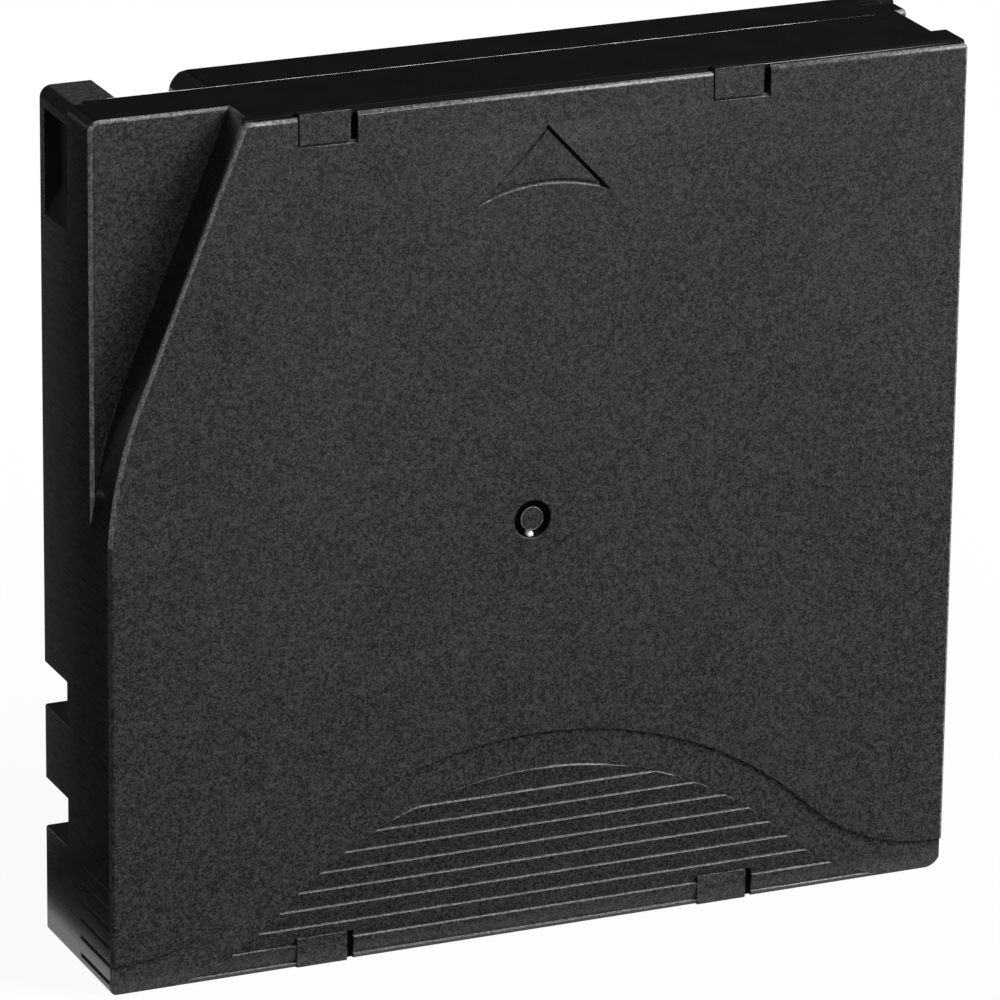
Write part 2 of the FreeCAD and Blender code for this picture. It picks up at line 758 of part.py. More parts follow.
def notch_walls():
    room = shell(parting_y, base_y - base_edge)
    walls = [side_notch(z0, z1, gap_wall).common(room) for z0, z1 in side_notches]
    gap_floor = case_length - gap_length - gap_wall
    walls.append(end_gap(gap_wall, gap_floor, case_length).common(shell(tongue_y, floor_y)))
    return walls


def side_pocket():
    """Shallow pocket beside the parting line, its lower end ramped."""
    x0 = -half_width - past
    x1 = -half_width + pocket_depth
    outline = [(x0, pocket_z0), (-half_width, pocket_z0), (x1, pocket_z0 + pocket_ramp), (x1, pocket_z1),
               (x0, pocket_z1)]
    return prism(outline, parting_y - past, base_y - pocket_margin)


def locating_boss(side, spare, y0):
    """Locating hole (left) or slot (right), or the boss round it."""
    x = reel_x + side * locating_offset_x
    radius = locating_radius + spare
    y1 = base_y + past if spare == 0 else floor_y
    if side < 0:
        return disc(radius, y0, y1, x, locating_z)
    half = locating_slot / 2
    ends = [disc(radius, y0, y1, x + end * half, locating_z) for end in (-1, 1)]
    return ends[0].fuse([ends[1], box(x - half, x + half, y0, y1, locating_z - radius, locating_z + radius)])


def tab_rails():
    """Rail that keeps the write protect tab against the rear wall."""
    z0 = wall_thickness + tab_block_depth + running_gap
    return box(-inner_x, tab_window_x1 + tab_block_spare, tab_centre_y - tab_width / 2, floor_y,
               z0, z0 + tab_rail)


def tab_cuts():
    """Window in the rear wall for the tab's knob, and the hole in the base that senses the tab."""
    half = tab_width / 2 + slide_fit
    window = box(tab_window_x0, tab_window_x1, tab_centre_y - half, tab_centre_y + half, -past,
                 wall_thickness + past)
    hole_x = tab_window_x0 + tab_knob_length / 2
    hole_z = wall_thickness + running_gap + tab_block_depth / 2
    sense = box(hole_x - sense_hole_length / 2, hole_x + sense_hole_length / 2, floor_y - past, base_y + past,
                hole_z - sense_hole_width / 2, hole_z + sense_hole_width / 2)
    return [window, sense]


def memory_gussets():
    """Two 45 degree gussets between the base and the rear wall that carry the memory board."""
    outline = [(floor_y, wall_thickness), (floor_y, wall_thickness + board_leg),
               (floor_y - board_leg, wall_thickness)]
    starts = (board_x0 + gusset_inset, board_x0 + board_width - gusset_inset - gusset_thickness)
    return [across(outline, x, x + gusset_thickness) for x in starts]


def spring_stand():
    """Block that the fixed end of the door spring bears on, with its centring pin."""
    reach = door_coil_radius + door_wire_radius
    block = box(door_spring_x - reach, half_width - wall_thickness, door_spring_y - reach, floor_y,
                stand_z1 - stand_thickness, stand_z1)
    pin = Part.makeCylinder(spring_post_radius, spring_post_length,
                            Vector(door_spring_x, door_spring_y, stand_z1), Vector(0, 0, 1))
    return block.fuse(pin)


def make_lower_case():
    bosses = [screw_boss(x, z, parting_y, floor_y) for x, z in screw_places]
    pin_end_y = tape_centre_y + pin_half_length
    cradle_start = pin_end_y - pin_knob_length - pin_neck_length / 2
    features = bosses + notch_walls() + memory_gussets()
    features += reel_ribs(parting_y, floor_y, ((-1, -1), (1, -1), (-1, 1)))
    locating_top = base_y - locating_depth - locating_wall
    features += [locating_boss(side, locating_wall, locating_top) for side in (-1, 1)]
    rim = reel_opening_radius + opening_rim_step
    features.append(ring(rim + opening_rim_width, rim, rim_y, floor_y))
    features.append(pin_cradle(cradle_start, floor_y, cradle_start, pin_end_y + pin_seat_gap))
    features.append(door_rail(door_y1 - rail_overlap, floor_y))
    features += [tab_rails(), spring_stand()]
    body = join(base_blank(), features)
    head_y = base_y - screw_recess - screw_head_height
    cuts = [disc(screw_radius, parting_y - past, base_y, x, z) for x, z in screw_places]
    cuts += [disc(screw_head_radius + screw_head_gap, head_y, base_y + past, x, z) for x, z in screw_places]
    cuts.append(disc(reel_opening_radius, floor_y - past, base_y + past))
    cuts += [locating_boss(side, 0, base_y - locating_depth) for side in (-1, 1)]
    cuts += [side_notch(z0, z1, 0) for z0, z1 in side_notches]
    cuts += [end_gap(0, case_length - gap_length, case_length + past), gap_lead()]
    cuts += [side_pocket(), door_cut(), label_recess()] + side_relief_cuts() + tab_cuts()
    return body.cut(cuts)


# ---------------------------------------------------------------- door and its spring
def door_nose():
    """Rounded nose at the door's end that a drive pushes on, short enough to stay in the opening."""
    y1 = door_y1 - door_nose_start
    x0 = door_x1 - door_nose_reach
    x1 = door_x1 + door_nose_reach
    nose = box(x0, x1, y1 - door_nose_width, y1, door_z1 - door_nose_thickness, door_z1)
    corners = [e for e in edges_where(nose, lambda p: abs(p.x - x1) < 1e-6)
               if abs(e.Vertexes[0].Point.z - e.Vertexes[1].Point.z) > 1e-6]
    nose = nose.makeFillet(door_nose_radius, corners)
    rim = [e for e in edges_where(nose, lambda p: abs(p.z - door_z1) < 1e-6)
           if max(v.Point.x for v in e.Vertexes) > x0 + 1e-6]
    return nose.makeFillet(door_nose_rim, rim)


def make_door():
    """Flat sliding door: plate, rounded end lip and the boss that takes the spring."""
    plate = box(door_x0, door_x1, door_y0, door_y1, door_z0, door_z1)
    lip = box(door_x1 - door_lip, door_x1, door_y0, door_y1, door_z1 - door_lip_thickness, door_z1)
    body = plate.fuse(lip).removeSplitter()
    outer = edges_where(body, lambda p: abs(p.x - door_x1) < 1e-6 and abs(p.z - door_z1) < 1e-6)
    body = body.makeFillet(door_edge_radius, outer).fuse(door_nose())
    reach = door_coil_radius + door_wire_radius
    boss = box(door_spring_x - reach, door_x0, door_spring_y - reach, door_spring_y + reach, door_z0,
               door_z0 + spring_boss_length)
    post = Part.makeCylinder(spring_post_radius, spring_post_length,
                             Vector(door_spring_x, door_spring_y, door_z0), Vector(0, 0, -1))
    return join(body, [boss, post])


def make_door_spring():
    spring = coil(door_coil_radius, door_wire_radius, door_coil_turns, door_spring_length)
    spring.translate(Vector(door_spring_x, door_spring_y, stand_z1))
    return spring


# ---------------------------------------------------------------- reel
def make_reel_hub():
    """Hub, lower flange, collar and floor as one moulding, with drive teeth and locking teeth."""
    bore = hub_radius - hub_wall
    rib = bore + weld_rib
    collar_y = flange_under_y + collar_drop
    rib_y = upper_flange_y - flange_thickness
    profile = [(0.0, hub_inside_y), (bore, hub_inside_y), (bore, rib_y), (rib, rib_y), (rib, upper_flange_y),
               (hub_radius, upper_flange_y), (hub_radius, lower_flange_y), (flange_radius, lower_flange_y),
               (flange_radius, flange_under_y), (collar_radius, flange_under_y), (collar_radius, collar_y),
               (drive_outer_radius, collar_y), (drive_outer_radius, hub_under_y), (0.0, hub_under_y)]
    points = [Vector(reel_x + r, y, reel_z) for r, y in profile]
    body = Part.Face(Part.makePolygon(points + points[:1]))
    body = body.revolve(Vector(reel_x, 0, reel_z), Vector(0, 1, 0), 360)
    slot_half = leg_half_angle + math.degrees(leg_slot_clearance / drive_inner_radius)

    def clear_of_legs(angle):
        return nearest(angle, leg_angles()) > slot_half + tooth_pitch * drive_root_share

    drive = teeth(drive_inner_radius, drive_outer_radius + tooth_sink, hub_under_y,
                  hub_under_y + drive_tooth_height, drive_root_share, drive_tip_share, clear_of_legs)
    slots = [sector(drive_inner_radius - leg_slot_clearance, drive_outer_radius, slot_half,
                    hub_inside_y - past, hub_under_y + past, angle) for angle in leg_angles()]
    return join(body, drive + lock_segments()).cut(slots)


def leg_angles():
    return (90.0, 210.0, 330.0)


def nearest(angle, places):
    """Degrees from the angle to the nearest of the places."""
    return min(abs((angle - place + 180.0) % 360.0 - 180.0) for place in places)


def sector(inner, outer, half_angle, y0, y1, angle):
    """Piece of a ring round the reel axis, symmetric about the given angle."""
    half = math.radians(half_angle)
    outline = [(reel_x + inner * math.cos(half), reel_z - inner * math.sin(half)),
               (reel_x + outer * math.cos(half), reel_z - outer * math.sin(half)),
               (reel_x + outer, reel_z, reel_x + outer * math.cos(half), reel_z + outer * math.sin(half)),
               (reel_x + inner * math.cos(half), reel_z + inner * math.sin(half)),
               (reel_x + inner, reel_z, reel_x + inner * math.cos(half), reel_z - inner * math.sin(half))]
    return turned(prism(outline, y0, y1), angle)


def lock_angles():
    return [angle + 60.0 for angle in leg_angles()]


def lock_segments():
    """Three toothed segments that stand on the hub floor between the pad's corners."""
    root_y = lock_tip_y + brake_tooth_height
    outer = brake_inner_radius + brake_tooth_length
    pieces = [sector(brake_inner_radius, outer, lock_segment_half_angle, root_y, hub_inside_y + tooth_sink,
                     angle)
              for angle in lock_angles()]

    def on_segment(angle):
        return nearest(angle, lock_angles()) < lock_segment_half_angle - tooth_pitch * brake_root_share

    return pieces + teeth(brake_inner_radius, outer, root_y, lock_tip_y, brake_root_share, brake_tip_share,
                          on_segment)


def make_reel_upper_flange():
    """Flat ring welded over the hub's upper rib."""
    hole = hub_radius - hub_wall + weld_rib
    return ring(flange_radius, hole, upper_flange_y - flange_thickness, upper_flange_y)


def make_reel_clutch_plate():
    """Steel plate on the hub floor, gripped by the drive's magnet."""
    return ring(clutch_radius, clutch_inner_radius, hub_under_y, hub_under_y + clutch_thickness)


def make_tape_pack():
    half = tape_width / 2
    return ring(pack_radius, hub_radius, tape_centre_y - half, tape_centre_y + half)


# ---------------------------------------------------------------- brake and release pad
def make_brake_member():
    """Brake button: toothed disc, sleeve with a cross slot, and the nose the pad pushes."""
    disc_part = disc(brake_radius, brake_top_y, brake_disc_y)
    sleeve = disc(brake_sleeve_radius, brake_top_y - brake_sleeve_height, brake_top_y)
    nose_y = pad_boss_y - pad_touch_gap
    nose = Part.makeCone(brake_nose_radius, brake_nose_tip, nose_y - brake_disc_y,
                         Vector(reel_x, brake_disc_y, reel_z), Vector(0, 1, 0))
    outer = brake_inner_radius + brake_tooth_length
    half_pitch = tooth_pitch / 2
    ring_teeth = [turned(t, half_pitch) for t in teeth(brake_inner_radius, outer, brake_disc_y,
                  brake_disc_y + brake_tooth_height, brake_root_share, brake_tip_share, lambda angle: True)]
    body = join(disc_part, [sleeve, nose] + ring_teeth)
    half = cross_thickness / 2 + slide_fit
    reach = cross_reach + slide_fit
    y0 = brake_top_y - brake_sleeve_height
    slots = [box(reel_x - reach, reel_x + reach, y0, brake_top_y, reel_z - half, reel_z + half),
             box(reel_x - half, reel_x + half, y0, brake_top_y, reel_z - reach, reel_z + reach)]
    return body.cut(slots)


def make_release_pad():
    """Three-cornered pad that lies on the hub floor, its legs reaching down through the hub."""
    y0 = hub_inside_y - pad_thickness
    corner = drive_inner_radius + drive_tooth_length / 2
    corners = [turned(disc(pad_corner_radius, y0, hub_inside_y, reel_x + corner), a) for a in leg_angles()]
    points = []
    for angle in leg_angles():
        turn = math.radians(angle)
        points.append((reel_x + corner * math.cos(turn), reel_z - corner * math.sin(turn)))
    plate = prism(points, y0, hub_inside_y)
    boss = disc(pad_boss_radius, pad_boss_y, y0)
    leg_end = hub_under_y + drive_tooth_height
    inner = drive_inner_radius
    outer = drive_outer_radius - leg_slot_clearance
    legs = [sector(inner, outer, leg_half_angle, y0, leg_end, angle) for angle in leg_angles()]
    room = disc(drive_outer_radius, y0, leg_end)
    return join(plate, corners + [boss] + legs).common(room)


def make_brake_spring():
    length = brake_top_y - ceiling_y
    spring = coil(brake_coil_radius, brake_wire_radius, brake_coil_turns, length)
    spring.rotate(Vector(0, 0, 0), Vector(1, 0, 0), -90)
    spring.translate(Vector(reel_x, ceiling_y, reel_z))
    return spring


# ---------------------------------------------------------------- leader pin and tape run
def make_leader_pin():
    """Turned pin: core for the tape, a collar, a neck and a knob at each end."""
    half = pin_half_length
    knob = half - pin_knob_length
    neck = knob - pin_neck_length
    core = pin_half_core
    profile = [(0.0, -half), (pin_knob_radius, -half), (pin_knob_radius, -knob), (pin_core_radius, -knob),
               (pin_core_radius, -neck), (pin_collar_radius, -neck), (pin_collar_radius, -core),
               (pin_core_radius, -core), (pin_core_radius, core), (pin_collar_radius, core),
               (pin_collar_radius, neck), (pin_core_radius, neck), (pin_core_radius, knob),
               (pin_knob_radius, knob), (pin_knob_radius, half), (0.0, half)]
    points = [Vector(pin_x + r, tape_centre_y + y, pin_z) for r, y in profile]
    face = Part.Face(Part.makePolygon(points + points[:1]))
    return face.revolve(Vector(pin_x, 0, pin_z), Vector(0, 1, 0), 360)


def tape_line():
    """Straight way of the tape from its roll to the leader pin, as two (x, z) points."""
    dx = pin_x - reel_x
    dz = pin_z - reel_z
    distance = math.hypot(dx, dz)
    radius = pack_radius + tape_run_gap + tape_film / 2
    offset = pin_core_radius + tape_film
    angle = math.atan2(dz, dx) + math.acos((radius - offset) / distance)
    start = (reel_x + radius * math.cos(angle), reel_z + radius * math.sin(angle))
    end = (pin_x + offset * math.cos(angle), pin_z + offset * math.sin(angle))
    return start, end, math.degrees(angle)


def make_tape_run():
    """Single layer of tape, lying straight between its roll and the pin."""
    half = tape_width / 2
    start, end, _ = tape_line()
    return ribbon([start, end], tape_film, tape_centre_y - half, tape_centre_y + half)


def make_leader_pin_clamp():
    """Open sleeve that snaps over the tape on the pin, its slit where the tape comes in."""
    half = tape_width / 2 - clamp_end_gap
    y0 = tape_centre_y - half
    y1 = tape_centre_y + half
    sleeve = ring(clamp_radius, pin_core_radius, y0, y1, pin_x, pin_z)
    _, _, angle = tape_line()
    middle = math.radians(angle + clamp_slit / 2)
    side = clamp_slit / 2
    reach = 2 * clamp_radius
    points = [(pin_x, pin_z)]
    for turn in (-side, side):
        spread = middle + math.radians(turn)
        points.append((pin_x + reach * math.cos(spread), pin_z + reach * math.sin(spread)))
    return sleeve.cut(prism(points, y0, y1))


def make_leader_pin_spring():
    """Forked plate spring: a base on the end wall and an arm over each end of the pin."""
    half_sheet = plate_spring_thickness / 2
    base_z = inner_top_z - half_sheet
    arm_start = pin_x - plate_spring_lead
    base_x0 = arm_start - plate_spring_base
    over_z = pin_z + pin_knob_radius + pad_touch_gap + half_sheet
    flat_x = pin_x + plate_spring_flat
    path = [(arm_start - plate_spring_lap, base_z), (arm_start, base_z), (pin_x - plate_spring_flat, over_z),
            (flat_x, over_z), (flat_x + plate_spring_tip, over_z + plate_spring_tip)]
    low_y = tape_centre_y - pin_half_length + slide_fit
    high_y = tape_centre_y + pin_half_length - slide_fit
    arms = [ribbon(path, plate_spring_thickness, low_y, low_y + plate_spring_arm),
            ribbon(path, plate_spring_thickness, high_y - plate_spring_arm, high_y)]
    base = box(base_x0, arm_start, low_y, high_y, base_z - half_sheet, base_z + half_sheet)
    return join(base, arms)


# ---------------------------------------------------------------- write protect tab
def make_write_protect_tab():
    """Sliding tab: a ridged knob in the rear window and a wider block behind the wall."""
    x0 = tab_window_x0 + slide_fit
    x1 = x0 + tab_knob_length
    half = tab_width / 2
    knob = box(x0, x1, tab_centre_y - half, tab_centre_y + half, tab_recess, wall_thickness + running_gap)
    half = tab_block_width / 2
    z0 = wall_thickness + running_gap / 2
    block = box(x0 - tab_block_spare, x1 + tab_block_spare, tab_centre_y - half, tab_centre_y + half,
                z0, z0 + tab_block_depth)
    pitch = tab_knob_length / (tab_ridges + 1)
    cuts = []
    for i in range(tab_ridges + 1):
        middle = x0 + (i + 0.5) * pitch
        cuts.append(box(middle - pitch / 4, middle + pitch / 4, tab_centre_y - tab_width,
                        tab_centre_y + tab_width, 0.0, tab_recess + tab_ridge_depth))
    return join(knob, [block]).cut(cuts)


# ---------------------------------------------------------------- cartridge memory
def on_board(shape):
    """Moves a shape drawn on the XY plane onto the 45 degree face of the gussets."""
    shape.rotate(Vector(0, 0, 0), Vector(1, 0, 0), 45)
    middle = Vector(board_x0 + board_width / 2, floor_y - board_leg / 2, wall_thickness + board_leg / 2)
    shape.translate(middle)
    return shape


def flat_box(width, length, z0, z1, x=0.0, y=0.0):
    return box(x - width / 2, x + width / 2, y - length / 2, y + length / 2, z0, z1)


def make_memory_board():
    return on_board(flat_box(board_width, board_length, 0.0, board_thickness))


def make_memory_chip():
    """Round moulded drop over the chip, in the middle of the coil."""
    return on_board(Part.makeCylinder(chip_radius, chip_height, Vector(0, 0, board_thickness)))


def make_memory_coil():
    """Printed loops round the board, joined by one short bridge."""
    z0 = board_thickness
    z1 = z0 + coil_height
    loops = []
    for i in range(coil_loops):
        inset = coil_margin + i * (coil_trace + coil_space)
        outer = flat_box(board_width - 2 * inset, board_length - 2 * inset, z0, z1)
        inner_inset = inset + coil_trace
        inner = flat_box(board_width - 2 * inner_inset, board_length - 2 * inner_inset, z0, z1)
        loops.append(outer.cut(inner))
    span = (coil_loops - 1) * (coil_trace + coil_space) + coil_trace
    bridge = flat_box(coil_trace, span, z0, z1, 0.0, board_length / 2 - coil_margin - span / 2)
    return on_board(join(loops[0], loops[1:] + [bridge]))


parts = {
    "upper_case": make_upper_case,
    "lower_case": make_lower_case,
    "case_screws": make_case_screws,
    "door": make_door,
    "door_spring": make_door_spring,
    "reel_hub": make_reel_hub,
    "reel_upper_flange": make_reel_upper_flange,
    "reel_clutch_plate": make_reel_clutch_plate,
    "tape_pack": make_tape_pack,
    "tape_run": make_tape_run,
    "brake_member": make_brake_member,
    "brake_spring": make_brake_spring,
    "release_pad": make_release_pad,
    "leader_pin": make_leader_pin,
    "leader_pin_clamp": make_leader_pin_clamp,
    "leader_pin_spring": make_leader_pin_spring,
    "write_protect_tab": make_write_protect_tab,
    "memory_board": make_memory_board,
    "memory_chip": make_memory_chip,
    "memory_coil": make_memory_coil,
}

os.makedirs("parts", exist_ok=True)
for name, make in parts.items():
    make().exportStep("parts/" + name + ".step")
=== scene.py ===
import math

import bmesh
import bpy
import numpy as np
from mathutils import Matrix, Vector


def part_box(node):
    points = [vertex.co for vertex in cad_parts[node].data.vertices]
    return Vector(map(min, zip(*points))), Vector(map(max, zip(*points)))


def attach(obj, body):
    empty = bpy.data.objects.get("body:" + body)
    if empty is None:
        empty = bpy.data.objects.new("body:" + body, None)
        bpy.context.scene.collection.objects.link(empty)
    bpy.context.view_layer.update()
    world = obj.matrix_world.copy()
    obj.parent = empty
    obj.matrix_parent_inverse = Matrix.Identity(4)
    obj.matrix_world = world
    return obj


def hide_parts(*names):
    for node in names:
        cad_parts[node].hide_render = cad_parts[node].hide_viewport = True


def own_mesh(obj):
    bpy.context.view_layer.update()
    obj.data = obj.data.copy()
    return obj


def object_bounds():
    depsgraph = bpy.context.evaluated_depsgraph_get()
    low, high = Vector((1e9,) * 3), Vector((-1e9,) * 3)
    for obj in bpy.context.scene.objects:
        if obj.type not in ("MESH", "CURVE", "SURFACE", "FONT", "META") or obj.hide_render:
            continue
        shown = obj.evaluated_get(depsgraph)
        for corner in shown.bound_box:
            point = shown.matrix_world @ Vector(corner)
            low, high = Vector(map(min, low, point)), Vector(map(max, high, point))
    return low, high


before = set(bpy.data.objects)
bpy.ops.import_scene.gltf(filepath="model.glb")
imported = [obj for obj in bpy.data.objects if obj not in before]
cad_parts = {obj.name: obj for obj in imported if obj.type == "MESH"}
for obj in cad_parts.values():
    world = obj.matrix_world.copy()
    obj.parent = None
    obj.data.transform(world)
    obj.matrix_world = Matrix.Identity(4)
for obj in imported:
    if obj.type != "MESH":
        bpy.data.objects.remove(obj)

bl_info = {
    "name": "Half-inch tape cartridge finish",
    "version": (1, 0, 0),
    "blender": (4, 5, 0),
    "location": "3D View > Sidebar > Cartridge",
    "description": "Dresses the tape cartridge: shells, reel, tape, leader pin, springs and studio",
    "category": "Object",
}

MM = 0.001
SHARP = math.radians(32.0)
CREASE = math.radians(35.0)
PLASTIC_IOR = 1.5
WAVE_RADIANS = 20.0         # radians that a wave texture of scale 1 turns through in a metre
MIDDLE = (0.3, 0.7)         # the band that holds most of a mottling
WHOLE = (0.0, 1.0)
FLAT = 0.97                 # a face lies flat where its normal's part along an axis is above this
UPRIGHT = 0.1               # and stands upright where that part is below this
GATE_X, GATE_Z = -1.2 * MM, 50.9 * MM
CAD_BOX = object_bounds()


# ---------------------------------------------------------------- colours and shader nodes
def linear(hex_colour):
    """An sRGB hex colour as linear red, green and blue."""
    srgb = np.array([int(hex_colour[i:i + 2], 16) for i in (1, 3, 5)]) / 255.0
    light = np.where(srgb <= 0.04045, srgb / 12.92, ((srgb + 0.055) / 1.055) ** 2.4)
    return tuple(float(c) for c in light)


def add_node(tree, kind, inputs=None, **settings):
    """Adds a shader node, sets its properties, and sets or links its inputs by name or place."""
    node = tree.nodes.new(kind)
    for name, value in settings.items():
        setattr(node, name, value)
    for name, value in (inputs or {}).items():
        socket = node.inputs[name]
        if isinstance(value, bpy.types.NodeSocket):
            tree.links.new(value, socket)
        elif isinstance(value, tuple) and len(value) == 3 and socket.type == "RGBA":
            socket.default_value = (*value, 1.0)
        else:
            socket.default_value = value
    return node


def new_material(name, roughness, metallic=0.0, specular=0.5):
    """A material with a Principled shader, returned with its tree, shader and object coordinates."""
    material = bpy.data.materials.new(name)
    material.use_nodes = True
    tree = material.node_tree
    tree.nodes.clear()
    shader = add_node(tree, "ShaderNodeBsdfPrincipled", {"Roughness": roughness, "Metallic": metallic})
    if not metallic:
        shader.inputs["IOR"].default_value = PLASTIC_IOR
        shader.inputs["Specular IOR Level"].default_value = specular
    add_node(tree, "ShaderNodeOutputMaterial", {"Surface": shader.outputs["BSDF"]})
    coords = add_node(tree, "ShaderNodeTexCoord").outputs["Object"]
    return material, tree, shader, coords


def mottling(tree, coords, size_mm, detail=2.0, roughness=0.5, stretch=(1.0, 1.0, 1.0)):
    """Unevenness from 0 to 1 in lumps of about size_mm, longer along an axis where stretch is above 1."""
    squeezed = add_node(tree, "ShaderNodeMapping", {
        "Vector": coords, "Scale": tuple(1.0 / s for s in stretch)})
    lumps = add_node(tree, "ShaderNodeTexNoise", {
        "Vector": squeezed.outputs["Vector"], "Scale": 1.0 / (size_mm * MM), "Detail": detail,
        "Roughness": roughness})
    return lumps.outputs["Fac"]


def finish_surface(tree, shader, tone, gloss=None, relief=None):
    """Lets patterns that run from 0 to 1 colour, roughen and raise a surface.

    tone (pattern, band, dark, light) takes the colour from dark to light as the pattern climbs through the
    band, and gloss (pattern, band, smooth, dry) does that for the roughness. relief (pattern, millimetres)
    raises the surface by the pattern times that depth.
    """
    pattern, (low, high), dark, light = tone
    share = add_node(tree, "ShaderNodeMapRange", {"Value": pattern, "From Min": low, "From Max": high})
    colour = add_node(tree, "ShaderNodeMix", {"Factor": share.outputs["Result"], 6: dark, 7: light},
                      data_type="RGBA")
    tree.links.new(colour.outputs[2], shader.inputs["Base Color"])
    if gloss:
        pattern, (low, high), smooth, dry = gloss
        rough = add_node(tree, "ShaderNodeMapRange", {"Value": pattern, "From Min": low, "From Max": high,
                                                      "To Min": smooth, "To Max": dry})
        tree.links.new(rough.outputs["Result"], shader.inputs["Roughness"])
    if relief:
        pattern, depth_mm = relief
        raised = add_node(tree, "ShaderNodeBump", {"Height": pattern, "Distance": depth_mm * MM})
        tree.links.new(raised.outputs["Normal"], shader.inputs["Normal"])


# ---------------------------------------------------------------- finishes
def spark_eroded_polycarbonate(plastic):
    """Black polycarbonate from a spark-eroded tool: a dry sandy grain that catches light as fine speckle."""
    colours = (tuple(plastic.pit_colour), tuple(plastic.grain_colour))
    return sandy_polycarbonate("spark_eroded_polycarbonate", plastic, colours, (0.5, 0.6))


def handled_polycarbonate(plastic):
    """Painted highlight: the same grain on rounded edges, drawn paler and a little shinier to stand in for
    light caught on them.
    """
    colours = (tuple(plastic.grain_colour), tuple(plastic.painted_highlight_colour))
    return sandy_polycarbonate("handled_polycarbonate", plastic, colours, (0.34, 0.44))


def sandy_polycarbonate(name, plastic, colours, roughnesses):
    """The spark texture: fine pits over wider lumps colour and raise it, and soft clouds vary its gloss."""
    material, tree, shader, coords = new_material(name, 0.5, specular=0.4)
    # Real spark pits are about 0.08 mm; they are drawn three times as wide so that they show.
    size = plastic.grain_size / MM
    pits = mottling(tree, coords, size, detail=1.5, roughness=0.6)
    lumps = mottling(tree, coords, 2.2 * size, detail=0.0)
    clouds = mottling(tree, coords, 18.0)
    pit_share = 0.75
    fine = add_node(tree, "ShaderNodeMath", {0: pits, 1: pit_share}, operation="MULTIPLY").outputs["Value"]
    grain = add_node(tree, "ShaderNodeMath", {0: lumps, 1: 1.0 - pit_share, 2: fine},
                     operation="MULTIPLY_ADD").outputs["Value"]
    finish_surface(tree, shader, (grain, (0.39, 0.7), *colours), (clouds, MIDDLE, *roughnesses),
                   (grain, plastic.grain_depth / MM))
    return material


def wire_cut_polycarbonate():
    """Painted shade: the same resin drawn dead matt black in the narrow steps, grooves, slots and pocket
    where shade falls.
    """
    material, tree, shader, coords = new_material("wire_cut_polycarbonate", 0.85, specular=0.1)
    # Faint streaks are drawn in it 0.2 mm apart.
    lines = mottling(tree, coords, 0.2, detail=1.0, stretch=(6.0, 1.0, 1.0))
    finish_surface(tree, shader, (lines, MIDDLE, linear("#060606"), linear("#0e0e0f")),
                   (lines, MIDDLE, 0.78, 0.92), (lines, 0.008))
    return material


def torn_polycarbonate():
    """Whitish fine-grained resin of the gate stub and the seam hair; on the gate stub the whitish colour is a
    painted highlight.
    """
    material, tree, shader, coords = new_material("torn_polycarbonate", 0.4)
    # Grains of about 0.1 mm.
    flecks = mottling(tree, coords, 0.12, detail=3.0, roughness=0.7)
    finish_surface(tree, shader, (flecks, (0.3, 0.6), linear("#a9a9a8"), linear("#f0f0ee")),
                   (flecks, MIDDLE, 0.3, 0.5), (flecks, 0.03))
    return material


def polished_polycarbonate(plastic):
    """The same resin off a polished tool: near black, with a soft gloss and faint flow marks."""
    material, tree, shader, coords = new_material("polished_polycarbonate", 0.28, specular=0.45)
    # Flow marks run up the walls, about 5 mm wide.
    flow = mottling(tree, coords, 5.0, detail=3.0, stretch=(1.0, 1.0, 4.0))
    # Draw scratches from the ejection stroke along Y, about 0.15 mm apart.
    draws = mottling(tree, coords, 0.15, detail=1.0, stretch=(1.0, 30.0, 1.0))
    finish_surface(tree, shader, (flow, MIDDLE, tuple(plastic.polished_colour), tuple(plastic.flow_colour)),
                   (draws, MIDDLE, 0.26, 0.3), (draws, 0.0006))
    return material


def glass_filled_polycarbonate():
    """Natural glass-filled polycarbonate of the reel: milky, with short fibres that swirl at the skin."""
    material, tree, shader, coords = new_material("glass_filled_polycarbonate", 0.42)
    # The fibres are about 0.01 mm thick; their swirls are drawn 0.5 mm wide and three times as long.
    fibres = mottling(tree, coords, 0.5, detail=4.0, roughness=0.7, stretch=(3.0, 1.0, 1.0))
    finish_surface(tree, shader, (fibres, (0.35, 0.65), linear("#dddcd5"), linear("#e9e8e2")),
                   (fibres, MIDDLE, 0.36, 0.5), (fibres, 0.01))
    return material


def moulded_acetal(name, light, dark):
    """Acetal, the slippery bearing plastic: waxy, slightly translucent, with no grain."""
    material, tree, shader, coords = new_material(name, 0.34)
    shader.inputs["Subsurface Weight"].default_value = 0.08
    shader.inputs["Subsurface Radius"].default_value = (0.0012, 0.001, 0.0008)
    shader.inputs["Subsurface Scale"].default_value = 1.0
    wax = mottling(tree, coords, 2.5)
    finish_surface(tree, shader, (wax, MIDDLE, linear(dark), linear(light)), (wax, MIDDLE, 0.28, 0.4),
                   (mottling(tree, coords, 0.3), 0.003))
    return material


def turned_stainless_steel():
    """Stainless pin turned on a lathe: bright, with tool rings across its axis."""
    material, tree, shader, coords = new_material("turned_stainless_steel", 0.2, metallic=1.0)
    # The lathe's feed marks follow each other along Y, 0.12 mm apart.
    rings = mottling(tree, coords, 0.12, detail=1.0, stretch=(60.0, 1.0, 60.0))
    finish_surface(tree, shader, (rings, WHOLE, linear("#b9b9b6"), linear("#d8d8d4")),
                   (rings, MIDDLE, 0.16, 0.3), (rings, 0.004))
    return material


def drawn_spring_steel():
    """Spring wire as drawn through a die: grey, slightly dark and finely mottled."""
    material, tree, shader, coords = new_material("drawn_spring_steel", 0.28, metallic=1.0)
    mottle = mottling(tree, coords, 0.2, detail=3.0)
    finish_surface(tree, shader, (mottle, WHOLE, linear("#8f8f8c"), linear("#b4b4b0")),
                   (mottle, MIDDLE, 0.22, 0.36))
    return material


